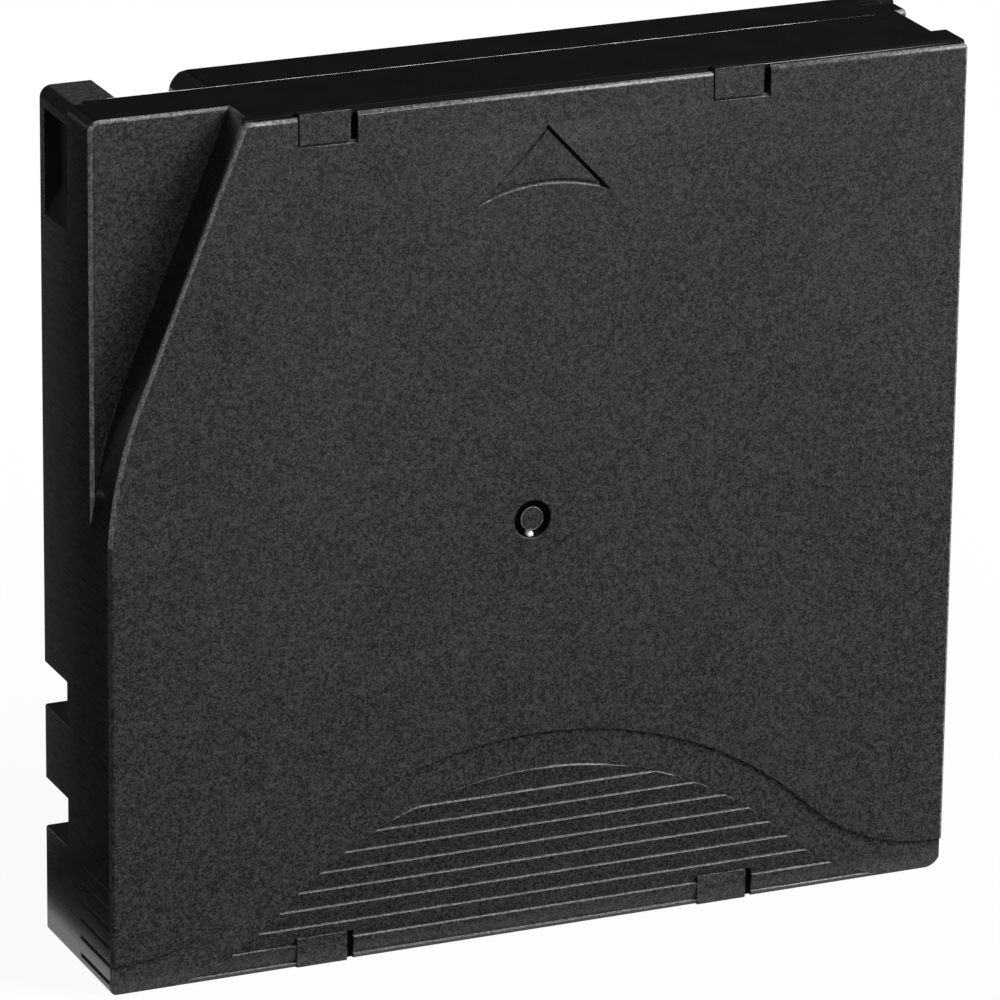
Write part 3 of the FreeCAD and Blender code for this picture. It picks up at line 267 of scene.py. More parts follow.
def pressed_magnetic_steel():
    """Stamped stainless plate: cold-rolled lines one way, with faint scuffs from the drive's magnet."""
    material, tree, shader, coords = new_material("pressed_magnetic_steel", 0.3, metallic=1.0)
    # Rolling lines are a few hundredths of a millimetre wide; they are drawn at 0.14 mm.
    rolled = mottling(tree, coords, 0.14, stretch=(40.0, 1.0, 1.0))
    scuffs = mottling(tree, coords, 1.8, detail=4.0, roughness=0.65)
    finish_surface(tree, shader, (rolled, MIDDLE, linear("#a9aaa8"), linear("#c9cac7")),
                   (scuffs, (0.3, 0.75), 0.22, 0.42), (rolled, 0.003))
    return material


def blackened_steel():
    """Screws blackened in hot salts: grey under the lamps, with a cloudy bloom."""
    material, tree, shader, coords = new_material("blackened_steel", 0.32, metallic=1.0)
    clouds = mottling(tree, coords, 0.8, detail=3.0)
    finish_surface(tree, shader, (clouds, MIDDLE, linear("#85868a"), linear("#a0a1a4")),
                   (clouds, MIDDLE, 0.26, 0.42))
    return material


def coated_polyester_tape():
    """Magnetic coating on polyester film: near black brown, glossy along the tape's face."""
    material, tree, shader, coords = new_material("coated_polyester_tape", 0.22)
    # The coating's own unevenness is far too fine to show; its tone is drawn in patches of about 1.6 mm.
    patches = mottling(tree, coords, 1.6, detail=5.0, roughness=0.7)
    finish_surface(tree, shader, (patches, (0.35, 0.65), linear("#15110f"), linear("#261d18")),
                   (patches, MIDDLE, 0.16, 0.3))
    return material


def wound_tape_edges(centre):
    """Side of the wound roll: thousands of tape edges that read as rings round the reel axis."""
    material, tree, shader, coords = new_material("wound_tape_edges", 0.36)
    centred = add_node(tree, "ShaderNodeMapping", {"Vector": coords, "Location": tuple(-c for c in centre)})
    # The film is 0.006 mm thick; the rings are drawn 2.2 mm apart, 0.35 mm to a radian, so that they show.
    rings = add_node(tree, "ShaderNodeTexWave", {
        "Vector": centred.outputs["Vector"], "Scale": 1.0 / (0.35 * MM * WAVE_RADIANS),
        "Distortion": 1.2, "Detail": 3.0, "Detail Scale": 1.5},
        wave_type="RINGS", rings_direction="Y").outputs["Fac"]
    finish_surface(tree, shader, (rings, WHOLE, linear("#17120f"), linear("#2c221c")),
                   (rings, WHOLE, 0.26, 0.44), (rings, 0.01))
    return material


def epoxy_glass_laminate():
    """Thin epoxy-glass board under green resist, with the cloth's weave just showing."""
    material, tree, shader, coords = new_material("epoxy_glass_laminate", 0.35)
    # Glass cloth has a thread every 0.5 mm; it is drawn every 1 mm, 0.157 mm to a radian.
    scale = 1.0 / (0.157 * MM * WAVE_RADIANS)
    warp, weft = [add_node(tree, "ShaderNodeTexWave", {"Vector": coords, "Scale": scale},
                           bands_direction=way).outputs["Fac"] for way in ("X", "Z")]
    cloth = add_node(tree, "ShaderNodeMath", {0: warp, 1: weft}, operation="MULTIPLY").outputs["Value"]
    finish_surface(tree, shader, (cloth, WHOLE, linear("#1d4a30"), linear("#2a6040")), relief=(cloth, 0.01))
    return material


def cast_black_epoxy():
    """Black glob of cast epoxy over the chip: glossy, with a slightly uneven skin."""
    material, tree, shader, coords = new_material("cast_black_epoxy", 0.25)
    skin = mottling(tree, coords, 0.7)
    finish_surface(tree, shader, (skin, WHOLE, linear("#101011"), linear("#1c1c1d")), relief=(skin, 0.03))
    return material


def etched_copper():
    """Etched copper track with a matt oxide bloom."""
    material, tree, shader, coords = new_material("etched_copper", 0.4, metallic=1.0)
    bloom = mottling(tree, coords, 0.9, detail=3.0)
    finish_surface(tree, shader, (bloom, WHOLE, linear("#9c5a3c"), linear("#c98461")),
                   (bloom, MIDDLE, 0.3, 0.5))
    return material


def moulded_red_abs(tab_colour):
    """Red ABS tab: clean moulded colour with a faint grain."""
    material, tree, shader, coords = new_material("moulded_red_abs", 0.36)
    grain = mottling(tree, coords, 0.3)
    dark = tuple(0.8 * c for c in tab_colour)
    finish_surface(tree, shader, (grain, MIDDLE, dark, tuple(tab_colour)), relief=(grain, 0.008))
    return material


# ---------------------------------------------------------------- meshes
def place(name, mesh, materials, body, nodes):
    """Links a finished mesh as a piece that rides a body and stands for the given CAD nodes."""
    piece = bpy.data.objects.new(name, mesh)
    bpy.context.scene.collection.objects.link(piece)
    for material in materials:
        mesh.materials.append(material)
    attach(piece, body)
    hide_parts(*nodes)
    return piece


def dressed(node, name, materials, body, edge=0.0, pick=None):
    """Copy of a CAD node: corners merged, flat facets joined, soft edges shaded and sharp ones rounded.

    edge is the width of that rounding, and pick(normals, centres) gives the material number of each face.
    """
    mesh = bpy.data.meshes.new(name)
    work = bmesh.new()
    work.from_mesh(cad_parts[node].data)
    bmesh.ops.remove_doubles(work, verts=work.verts, dist=0.0005 * MM)
    if pick is not None:
        work.to_mesh(mesh)
        faces = mesh.polygons
        numbers = pick(values_of(faces, "normal", parts=3), values_of(faces, "center", parts=3))
        faces.foreach_set("material_index", numbers.astype(np.int32))
        work.clear()
        work.from_mesh(mesh)
    bmesh.ops.dissolve_limit(work, angle_limit=math.radians(0.6), verts=work.verts, edges=work.edges,
                             use_dissolve_boundaries=False, delimit={"MATERIAL"})
    work.to_mesh(mesh)
    work.free()
    mesh.shade_smooth()
    mesh.set_sharp_from_angle(angle=SHARP)
    piece = place(name, mesh, materials, body, [node])
    if edge:
        mark_roundable_edges(mesh, edge)
        bevel = piece.modifiers.new("moulded edges", "BEVEL")
        bevel.width = edge
        bevel.segments = 2
        bevel.limit_method = "WEIGHT"
        bevel.use_clamp_overlap = False
    flatten = piece.modifiers.new("flat faces stay flat", "WEIGHTED_NORMAL")
    flatten.mode = "FACE_AREA"
    flatten.weight = 50
    flatten.keep_sharp = True
    return piece


def values_of(items, name, kind=np.float32, parts=1):
    """A value of every vertex, edge, face or corner of a mesh as an array, in rows where it has parts."""
    values = np.empty(len(items) * parts, kind)
    items.foreach_get(name, values)
    return values.reshape(-1, parts) if parts > 1 else values


def mark_roundable_edges(mesh, width):
    """Gives a bevel weight to each sharp edge that has room for a rounding of that width.

    An edge is sharp where the unit normals of its two faces have a dot product below the cosine of the sharp
    angle. A corner has room where every edge that meets it is longer than three widths and no two sharp edges
    of one face leave it closer together than the crease angle. Both ends of a rounded edge need room.
    """
    count = len(mesh.edges)
    ends = values_of(mesh.edges, "vertices", np.int32, parts=2)
    corners = values_of(mesh.vertices, "co", parts=3)
    loop_edge = values_of(mesh.loops, "edge_index", np.int32)
    loop_vertex = values_of(mesh.loops, "vertex_index", np.int32)
    starts = values_of(mesh.polygons, "loop_start", np.int32)
    totals = values_of(mesh.polygons, "loop_total", np.int32)
    face_of_loop = np.repeat(np.arange(len(totals)), totals)
    normals = values_of(mesh.polygons, "normal", parts=3)
    order = np.argsort(loop_edge, kind="stable")
    uses = np.bincount(loop_edge, minlength=count)
    first = np.concatenate([[0], np.cumsum(uses)[:-1]])
    paired = uses == 2
    dots = np.ones(count)
    one = face_of_loop[order[first[paired]]]
    two = face_of_loop[order[first[paired] + 1]]
    dots[paired] = (normals[one] * normals[two]).sum(axis=1)
    sharp = dots < math.cos(SHARP)
    length = np.linalg.norm(corners[ends[:, 0]] - corners[ends[:, 1]], axis=1)
    room = np.full(len(corners), np.inf)
    np.minimum.at(room, ends.ravel(), np.repeat(length, 2))
    place_in_face = np.arange(len(loop_edge)) - starts[face_of_loop]
    before = starts[face_of_loop] + (place_in_face - 1) % totals[face_of_loop]
    after = starts[face_of_loop] + (place_in_face + 1) % totals[face_of_loop]
    to_next = corners[loop_vertex[after]] - corners[loop_vertex]
    to_last = corners[loop_vertex[before]] - corners[loop_vertex]
    lengths = np.linalg.norm(to_next, axis=1) * np.linalg.norm(to_last, axis=1)
    cosine = (to_next * to_last).sum(axis=1) / lengths
    narrow = (cosine > math.cos(CREASE)) & sharp[loop_edge] & sharp[loop_edge[before]]
    fits = room > 3 * width
    fits[loop_vertex[narrow]] = False
    weight = (sharp & fits[ends].all(axis=1)).astype(np.float32)
    mesh.attributes.new("bevel_weight_edge", "FLOAT", "EDGE").data.foreach_set("value", weight)


def grid_mesh(name, points, close_u=False):
    """Mesh of a grid of points, shape (u, v, 3), closed along v; its u ends are capped, or u closes too."""
    rows, columns = points.shape[:2]
    index = np.arange(rows * columns).reshape(rows, columns)
    if close_u:
        index = np.vstack([index, index[:1]])
    index = np.hstack([index, index[:, :1]])
    quads = np.stack([index[:-1, :-1], index[1:, :-1], index[1:, 1:], index[:-1, 1:]], axis=-1)
    faces = quads.reshape(-1, 4).tolist()
    if not close_u:
        faces.append(index[0, :-1].tolist())
        faces.append(index[-1, :-1][::-1].tolist())
    mesh = bpy.data.meshes.new(name)
    mesh.from_pydata(points.reshape(-1, 3).tolist(), [], faces)
    work = bmesh.new()
    work.from_mesh(mesh)
    bmesh.ops.remove_doubles(work, verts=work.verts, dist=0.0001 * MM)
    bmesh.ops.recalc_face_normals(work, faces=work.faces)
    work.to_mesh(mesh)
    work.free()
    mesh.shade_smooth()
    mesh.set_sharp_from_angle(angle=CREASE)
    return mesh


def full_turn(steps):
    """The angles of a full turn in equal steps, without the last, which is the first again."""
    return np.linspace(0.0, 2 * math.pi, steps, endpoint=False)


def helix_points(radius, wire, turns, length, dead_turns, start, axis):
    """Round wire wound as a compression spring, its end turns closed.

    The centre line runs round the axis at the given radius. Its rise is an even climb whose first and last
    dead turns climb only one wire each. A circle of the wire's radius is carried along it, its plane spanned
    by the outward direction and the direction square to both that and the line.
    """
    steps_a_turn, steps_round_wire = 28, 12
    t = np.linspace(0.0, 1.0, int(turns * steps_a_turn) + 1)
    dead = dead_turns / turns
    live_rise = length - 2 * wire - 4 * wire * dead_turns
    rise = np.interp(t, [0.0, dead, 1.0 - dead, 1.0],
                     [0.0, 2 * wire * dead_turns, 2 * wire * dead_turns + live_rise, length - 2 * wire])
    angle = 2 * math.pi * turns * t
    out = np.stack([np.cos(angle), np.sin(angle), np.zeros_like(t)], axis=-1)
    centre = out * radius
    centre[:, 2] = wire + rise
    along = np.gradient(centre, axis=0)
    along /= np.linalg.norm(along, axis=1, keepdims=True)
    side = np.cross(along, out)
    side /= np.linalg.norm(side, axis=1, keepdims=True)
    turn = full_turn(steps_round_wire)[None, :, None]
    ring = out[:, None, :] * np.cos(turn) + side[:, None, :] * np.sin(turn)
    points = centre[:, None, :] + wire * ring
    frame_of_axis = Vector(axis).to_track_quat("Z", "X").to_matrix()
    return points @ np.array(frame_of_axis).T + np.array(start)


def revolved(profile, centre, columns):
    """Surface swept by (radius, height) points turned about an axis along Y through the centre.

    A point at radius r, height h and angle a lies at centre + (r cos a, h, r sin a).
    """
    angle = full_turn(columns)
    radius = np.array([p[0] for p in profile])[:, None]
    height = np.array([p[1] for p in profile])[:, None] * np.ones(columns)[None, :]
    return np.stack([centre[0] + radius * np.cos(angle), centre[1] + height,
                     centre[2] + radius * np.sin(angle)], axis=-1)


# ---------------------------------------------------------------- settings
class PlasticSettings(bpy.types.PropertyGroup):
    """Colours and grain of the moulded shells."""

    pit_colour: bpy.props.FloatVectorProperty(
        name="Pit colour", description="Darkest grain of the textured faces", subtype="COLOR",
        min=0.0, max=1.0, default=linear("#0d0d0e"))
    grain_colour: bpy.props.FloatVectorProperty(
        name="Grain colour", description="Lightest grain of the textured faces", subtype="COLOR",
        min=0.0, max=1.0, default=linear("#3b3b3c"))
    # Painted highlight: this pale grain stands in for light caught on the rounded edges.
    painted_highlight_colour: bpy.props.FloatVectorProperty(
        name="Highlight colour", description="Lightest grain where edges are rubbed", subtype="COLOR",
        min=0.0, max=1.0, default=linear("#7c7c7d"))
    polished_colour: bpy.props.FloatVectorProperty(
        name="Polished colour", description="Walls off the polished tool", subtype="COLOR",
        min=0.0, max=1.0, default=linear("#0a0a0b"))
    flow_colour: bpy.props.FloatVectorProperty(
        name="Flow colour", description="Faint flow marks in the polished walls", subtype="COLOR",
        min=0.0, max=1.0, default=linear("#0e0e0f"))
    tab_colour: bpy.props.FloatVectorProperty(
        name="Tab colour", description="Write protect tab", subtype="COLOR",
        min=0.0, max=1.0, default=linear("#c44538"))
    grain_size: bpy.props.FloatProperty(
        name="Grain size", description="Width of a grain of the spark texture", unit="LENGTH",
        default=0.24 * MM, precision=5)
    grain_depth: bpy.props.FloatProperty(
        name="Grain depth", description="Depth of the spark texture", unit="LENGTH",
        default=0.03 * MM, precision=5)
    edge_radius: bpy.props.FloatProperty(
        name="Edge radius", description="Break on the moulded edges", unit="LENGTH",
        default=0.1 * MM, precision=5)


class SpringSettings(bpy.types.PropertyGroup):
    """Wire and turns of the two coil springs."""

    door_wire: bpy.props.FloatProperty(
        name="Door spring wire", description="Wire radius of the door spring", unit="LENGTH",
        default=0.22 * MM, precision=5)
    door_turns: bpy.props.FloatProperty(
        name="Door spring turns", description="Turns of the door spring", default=19.0)
    brake_wire: bpy.props.FloatProperty(
        name="Brake spring wire", description="Wire radius of the brake spring", unit="LENGTH",
        default=0.35 * MM, precision=5)
    brake_turns: bpy.props.FloatProperty(
        name="Brake spring turns", description="Turns of the brake spring", default=5.5)


class StageSettings(bpy.types.PropertyGroup):
    """Camera, lamps and floor."""

    azimuth: bpy.props.FloatProperty(
        name="Azimuth", description="Camera's turn about the upright axis", subtype="ANGLE",
        default=math.radians(-23.757))
    elevation: bpy.props.FloatProperty(
        name="Elevation", description="Camera's height above the horizon", subtype="ANGLE",
        default=math.radians(19.399))
    roll: bpy.props.FloatProperty(
        name="Roll", description="Camera's roll", subtype="ANGLE", default=math.radians(0.693))
    distance: bpy.props.FloatProperty(
        name="Distance", description="Camera to the point it looks at", unit="LENGTH", default=857.5 * MM)
    aim: bpy.props.FloatVectorProperty(
        name="Aim", description="Point that the camera looks at, from the cartridge's middle",
        subtype="TRANSLATION", default=(-0.67 * MM, -0.23 * MM, -1.3 * MM), precision=5)
    lens: bpy.props.FloatProperty(
        name="Lens", description="Focal length in millimetres", default=267.8)
    floor_colour: bpy.props.FloatVectorProperty(
        name="Floor colour", description="Pale studio floor", subtype="COLOR",
        min=0.0, max=1.0, default=linear("#bcbcba"))
    key_power: bpy.props.FloatProperty(
        name="Key lamp", description="Power of the overhead soft box in watts", default=10.5)
    front_power: bpy.props.FloatProperty(
        name="Front lamp", description="Power of the front soft box in watts", default=1.0)
    left_power: bpy.props.FloatProperty(
        name="Left lamp", description="Power of the left strip box in watts", default=1.0)
    rear_power: bpy.props.FloatProperty(
        name="Rear lamp", description="Power of the rear soft box in watts", default=4.0)
    room_light: bpy.props.FloatProperty(
        name="Room light", description="Strength of the even light from all round", default=0.06)


class CartridgeSettings(bpy.types.PropertyGroup):
    """All the settings of the cartridge's finish."""

    plastic: bpy.props.PointerProperty(type=PlasticSettings)
    springs: bpy.props.PointerProperty(type=SpringSettings)
    stage: bpy.props.PointerProperty(type=StageSettings)


def settings():
    return bpy.context.scene.cartridge


# ---------------------------------------------------------------- shells
class CoverShell(bpy.types.Operator):
    """Cover with its textured face, insertion guide, finger grip and side grooves"""

    bl_idname = "cartridge.cover_shell"
    bl_label = "Cover shell"

    def execute(self, context):
        plastic = settings().plastic
        low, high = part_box("upper_case")
        # Depths below the cover face: its rounding, a groove's floor, the shallow cuts and the guide.
        edge, groove_start, face_depth, groove_end = 0.5 * MM, 0.7 * MM, 0.9 * MM, 1.3 * MM
        guide_start, guide_end = 5.0 * MM, 6.2 * MM
        # Heights over the rear edge: the foot of the grip, and where the painted highlights begin along the
        # guide and on the left side.
        foot_top, guide_highlight_from, side_highlight_from = 4.2 * MM, 40.0 * MM, 46.0 * MM
        # How far zones reach in from the insertion end, from the sides and from the middle of the gate mark.
        slot_reach, end_margin = 5.0 * MM, 2.0 * MM
        side_margin, step_reach, mark_reach = 2.0 * MM, 0.6 * MM, 2.5 * MM
        arrow_half_width, arrow_length, arrow_inset = 8.05 * MM, 8.6 * MM, 4.3 * MM
        rim_z = high.z - edge

        def pick(normals, centres):
            """0 textured face and guide floor, 1 polished walls, 2 painted highlight on edges and ribs, 3
            painted shade in black steps.
            """
            x, height, z = centres[:, 0], centres[:, 1] - low.y, centres[:, 2]
            facing, up, side = -normals[:, 1], normals[:, 2], np.abs(normals[:, 0])
            numbers = np.where((facing > UPRIGHT) & (height < guide_end), 0, 1)
            # Walls of shallow cuts are textured, but painted shade in black where they face down, in the
            # slots and round the gate.
            wall = (height < face_depth) & (facing <= UPRIGHT)
            slots = (z > high.z - slot_reach) | (z < foot_top)
            gate = np.hypot(x - GATE_X, z - GATE_Z) < mark_reach
            numbers[wall] = 0
            numbers[wall & ((up < -0.2) | slots | gate)] = 3
            # Rounded edges round the face and along the guide get a painted highlight, but not low on the
            # left side.
            rounded = (facing > UPRIGHT) & (facing < FLAT)
            outer = (np.abs(x) > high.x - edge) | (z > rim_z - edge)
            highlight_zone = (x > low.x + side_margin) | (z > side_highlight_from)
            numbers[rounded & (height < edge) & outer & (up > -0.3) & highlight_zone] = 2
            numbers[rounded & (height > guide_start) & (height < guide_end)] = 2
            guide_side = (normals[:, 0] < -0.3) & (z > guide_highlight_from)
            numbers[rounded & (height < edge) & guide_side & highlight_zone] = 2
            # Narrow ledges that face up, such as the crests of the grip ribs, get a painted highlight as
            # well.
            ledge = wall & (height < groove_start) & (up > 0.9) & ~gate
            numbers[ledge & (z < high.z - end_margin)] = 2
            # In the arrow the right leg's floor is painted shade in black, and the lower wall of the base
            # gets a painted highlight.
            across, along = x / arrow_half_width, (high.z - arrow_inset - z) / arrow_length
            arrow = (along > -0.1) & (along < 1.1) & (np.abs(across) < 1.1)
            arrow &= (height > 0.001 * MM) & (height < face_depth)
            numbers[arrow] = 0
            numbers[arrow & (np.abs(across - along) < 0.12) & (facing > FLAT)] = 3
            numbers[arrow & (up > 0.5) & (np.abs(across) < 0.9) & (along > 0.6)] = 2
            # Floors of the grooves and slanted steps at the sides are painted shade in black.
            numbers[(facing > FLAT) & (height > groove_start) & (height < groove_end)] = 3
            numbers[(side > 0.4) & (up > 0.5) & (np.abs(x) > high.x - step_reach)] = 3
            return numbers

        finishes = [spark_eroded_polycarbonate(plastic), polished_polycarbonate(plastic),
                    handled_polycarbonate(plastic), wire_cut_polycarbonate()]
        dressed("upper_case", "cover_shell", finishes, "case", plastic.edge_radius,
                pick)
        self.gate_vestige(low.y)
        self.gate_highlight_ring(low.y)
        self.pale_seam_hair(high)
        return {"FINISHED"}

    def gate_highlight_ring(self, cover_y):
        """Thin ring round the boss of the gate mark, in the painted highlight colour.

        A torus about y round the middle of the mark: at angles a round the ring and t round its section, the
        radius is ring + tube cos t, and the depth is that of the boss's top plus tube sin t.
        """
        ring, tube, boss_depth = 1.36 * MM, 0.06 * MM, 0.24 * MM
        around, turn = np.meshgrid(full_turn(64), full_turn(8), indexing="ij")
        radius = ring + tube * np.cos(turn)
        points = np.stack([GATE_X + radius * np.cos(around), cover_y + boss_depth + tube * np.sin(turn),
                           GATE_Z + radius * np.sin(around)], axis=-1)
        highlighted = bpy.data.materials["handled_polycarbonate"]
        place("gate_highlight_ring", grid_mesh("gate_highlight_ring", points, close_u=True), [highlighted], "case",
              [])

    def pale_seam_hair(self, high):
        """Whitish hair in the seam of the end wall.

        A bar of six sides along x whose middle wanders across by a sum of two sines of x, its top just below
        the end face.
        """
        start, end, radius, sunk = -47.5 * MM, 40.0 * MM, 0.07 * MM, 0.075 * MM
        x = np.linspace(start, end, 400)
        turn = full_turn(6)
        wander = 0.02 * MM * (np.sin(x / (2.3 * MM)) + np.sin(x / (0.7 * MM)))
        points = np.empty((len(x), len(turn), 3))
        points[:, :, 0] = x[:, None]
        points[:, :, 1] = high.y + wander[:, None] + radius * np.cos(turn)
        points[:, :, 2] = high.z - sunk + radius * np.sin(turn)
        whitish = bpy.data.materials["torn_polycarbonate"]
        place("pale_seam_hair", grid_mesh("pale_seam_hair", points), [whitish], "case", [])

    def gate_vestige(self, cover_y):
        """Stub of the moulding gate in the ring round the gate mark; its whitish colour is a painted
        highlight.

        A turned profile of radius r whose top is raised by waves of sin(3 angle) and cos(5 angle) times r.
        """
        stub_x, stub_z, columns = -1.36 * MM, 49.02 * MM, 24
        profile = [(0.42, 0.9), (0.4, 0.5), (0.36, 0.24), (0.26, 0.15), (0.12, 0.13), (0.001, 0.14)]
        profile = [(r * MM, h * MM) for r, h in profile]
        points = revolved(profile, (stub_x, cover_y, stub_z), columns)
        angle = full_turn(columns)
        waves = 0.04 * MM * (np.sin(3 * angle) + np.cos(5 * angle))
        points[2:, :, 1] += waves * np.array([r for r, h in profile[2:]])[:, None] / profile[0][0]
        place("gate_vestige", grid_mesh("gate_vestige", points), [torn_polycarbonate()], "case",
              [])


class BaseShell(bpy.types.Operator):
    """Base with its corner post, notches, pocket, reel opening and locating holes"""

    bl_idname = "cartridge.base_shell"
    bl_label = "Base shell"

    def execute(self, context):
        plastic = settings().plastic
        low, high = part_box("lower_case")
        # The base face with its shallow recesses, the top of the corner post and the pocket in the side.
        face = high.y - 1.1 * MM
        post_depth, rounding_depth, post_width = 1.5 * MM, 2.0 * MM, 6.5 * MM
        pocket_start, pocket_end, pocket_z, pocket_half = 0.1 * MM, 8.0 * MM, 88.0 * MM, 10.5 * MM

        def pick(normals, centres):
            """0 textured base face and post top, 1 polished walls, 2 painted shade in black in the pocket and
            on the post roundings.
            """
            x, y, z = centres[:, 0], centres[:, 1], centres[:, 2]
            up, depth = normals[:, 2], x - low.x
            base = (normals[:, 1] > 0.5) & (y > face)
            post = (up > 0.7) & (z > high.z - post_depth) & (x < low.x + post_width)
            rounding = (np.abs(up - 0.55) < 0.4) & (normals[:, 0] < -0.15) & (z > high.z - rounding_depth)
            pocket = (depth > pocket_start) & (depth < pocket_end) & (np.abs(z - pocket_z) < pocket_half)
            numbers = np.where((pocket & (y < face)) | rounding, 2, 1)
            numbers[base | (post & ~rounding)] = 0
            return numbers

        names = ("spark_eroded_polycarbonate", "polished_polycarbonate", "wire_cut_polycarbonate")
        finishes = [bpy.data.materials[name] for name in names]
        dressed("lower_case", "base_shell", finishes, "case", plastic.edge_radius, pick)
        return {"FINISHED"}


class Door(bpy.types.Operator):
    """Sliding door with its rounded lip"""

    bl_idname = "cartridge.door"
    bl_label = "Door"

    def execute(self, context):
        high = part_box("door")[1]
        nose_reach = 3.0 * MM

        def pick(normals, centres):
            """0 polished, 1 painted highlight on the rounded nose at the end."""
            near = np.hypot(centres[:, 0] - high.x, centres[:, 2] - high.z) < nose_reach
            return np.where(near & (normals[:, 2] > 0.2) & (normals[:, 2] < 0.98), 1, 0)

        names = ("polished_polycarbonate", "handled_polycarbonate")
        finishes = [bpy.data.materials[name] for name in names]
        dressed("door", "sliding_door", finishes, "door", 0.08 * MM, pick)
        return {"FINISHED"}


class WriteProtectTab(bpy.types.Operator):
    """Sliding write protect tab"""

    bl_idname = "cartridge.write_protect_tab"
    bl_label = "Write protect tab"

    def execute(self, context):
        red = moulded_red_abs(settings().plastic.tab_colour)
        dressed("write_protect_tab", "protect_tab", [red], "write_protect_tab", 0.12 * MM)
        return {"FINISHED"}


class CaseScrews(bpy.types.Operator):
    """Four pan-head screws with cross recesses"""

    bl_idname = "cartridge.case_screws"
    bl_label = "Case screws"

    def execute(self, context):
        dressed("case_screws", "pan_head_screws", [blackened_steel()], "case", 0.06 * MM)
        return {"FINISHED"}


# ---------------------------------------------------------------- springs
class Springs(bpy.types.Operator):
    """Door spring and brake spring as round wire with closed ends"""

    bl_idname = "cartridge.springs"
    bl_label = "Springs"

    def execute(self, context):
        wires = settings().springs
        steel = drawn_spring_steel()
        low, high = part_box("door_spring")
        radius = (high.x - low.x) / 2 - wires.door_wire
        start = ((low.x + high.x) / 2, (low.y + high.y) / 2, low.z)
        points = helix_points(radius, wires.door_wire, wires.door_turns, high.z - low.z, 1.5, start,
                              (0, 0, 1))
        piece = place("door_spring_wire", grid_mesh("door_spring_wire", points), [steel], "case",
                      ["door_spring"])
        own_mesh(piece)

        low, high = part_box("brake_spring")
        radius = (high.x - low.x) / 2 - wires.brake_wire
        start = ((low.x + high.x) / 2, low.y, (low.z + high.z) / 2)
        points = helix_points(radius, wires.brake_wire, wires.brake_turns, high.y - low.y, 1.0, start,
                              (0, 1, 0))
        piece = place("brake_spring_wire", grid_mesh("brake_spring_wire", points), [steel], "case",
                      ["brake_spring"])
        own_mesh(piece)
        return {"FINISHED"}


# ---------------------------------------------------------------- reel
class Reel(bpy.types.Operator):
    """Hub with its drive teeth, welded flange and clutch plate"""

    bl_idname = "cartridge.reel"
    bl_label = "Reel"

    def execute(self, context):
        milky, steel = glass_filled_polycarbonate(), pressed_magnetic_steel()
        dressed("reel_hub", "hub_moulding", [milky], "reel", 0.06 * MM)
        dressed("reel_upper_flange", "welded_flange", [milky], "reel", 0.08 * MM)
        dressed("reel_clutch_plate", "clutch_plate", [steel], "reel", 0.08 * MM)
        return {"FINISHED"}


class TapePack(bpy.types.Operator):
    """Wound tape whose turns stand a hair proud of each other"""

    bl_idname = "cartridge.tape_pack"
    bl_label = "Tape pack"

    def execute(self, context):
        low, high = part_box("tape_pack")
        centre = (low + high) / 2
        half = (high.y - low.y) / 2
        outer = (high.x - low.x) / 2
        inner, bands, columns = 22.0 * MM, 120, 144
        # Each band of turns is set back from the widest by a little that varies from band to band.
        rng = np.random.default_rng(5)
        radii = np.linspace(inner, outer, bands)
        set_back = 0.04 * MM * rng.random(len(radii))
        set_back[[0, -1]] = 0.0
        top = [(r, half - s) for r, s in zip(radii, set_back)]
        under = [(r, -half + s) for r, s in zip(radii[::-1], set_back[::-1])]
        points = revolved(top + under, centre, columns)
        mesh = grid_mesh("tape_pack_turns", points, close_u=True)
        side = np.abs(values_of(mesh.polygons, "normal", parts=3)[:, 1]) > 0.5
        mesh.polygons.foreach_set("material_index", side.astype(np.int32))
        finishes = [coated_polyester_tape(), wound_tape_edges(centre)]
        place("tape_pack_turns", mesh, finishes, "reel", ["tape_pack"])
        return {"FINISHED"}


# ---------------------------------------------------------------- leader pin and tape
class LeaderPin(bpy.types.Operator):
    """Turned pin, its clamp and plate spring, and the single run of tape"""

    bl_idname = "cartridge.leader_pin"
    bl_label = "Leader pin"

    def execute(self, context):
        bright = turned_stainless_steel()
        acetal = moulded_acetal("dark_acetal", "#5d5e60", "#525355")
        names = ("pressed_magnetic_steel", "coated_polyester_tape")
        plate, film = [bpy.data.materials[name] for name in names]
        dressed("leader_pin", "turned_leader_pin", [bright], "case", 0.05 * MM)
        dressed("leader_pin_clamp", "tape_clamp", [acetal], "case", 0.06 * MM)
        dressed("leader_pin_spring", "plate_spring", [plate], "case", 0.04 * MM)
        dressed("tape_run", "tape_run_film", [film], "case")
        return {"FINISHED"}


# ---------------------------------------------------------------- brake and release pad
class ReelLock(bpy.types.Operator):
    """Toothed brake and the three-legged release pad"""

    bl_idname = "cartridge.reel_lock"
    bl_label = "Reel lock"

    def execute(self, context):
        grey = moulded_acetal("grey_acetal", "#999b9f", "#8f9195")
        white = moulded_acetal("white_acetal", "#f0f0ee", "#e8e8e5")
        dressed("brake_member", "toothed_brake", [grey], "brake", 0.05 * MM)
        dressed("release_pad", "three_legged_pad", [white], "release_pad", 0.08 * MM)
        return {"FINISHED"}


# ---------------------------------------------------------------- cartridge memory
class Memory(bpy.types.Operator):
    """Memory board with its printed coil and potted chip"""

    bl_idname = "cartridge.memory"
    bl_label = "Memory"

    def execute(self, context):
        laminate = epoxy_glass_laminate()
        dressed("memory_board", "memory_laminate", [laminate], "case", 0.03 * MM)
        dressed("memory_chip", "potted_chip", [cast_black_epoxy()], "case", 0.12 * MM)
        dressed("memory_coil", "printed_coil", [etched_copper()], "case")
        return {"FINISHED"}


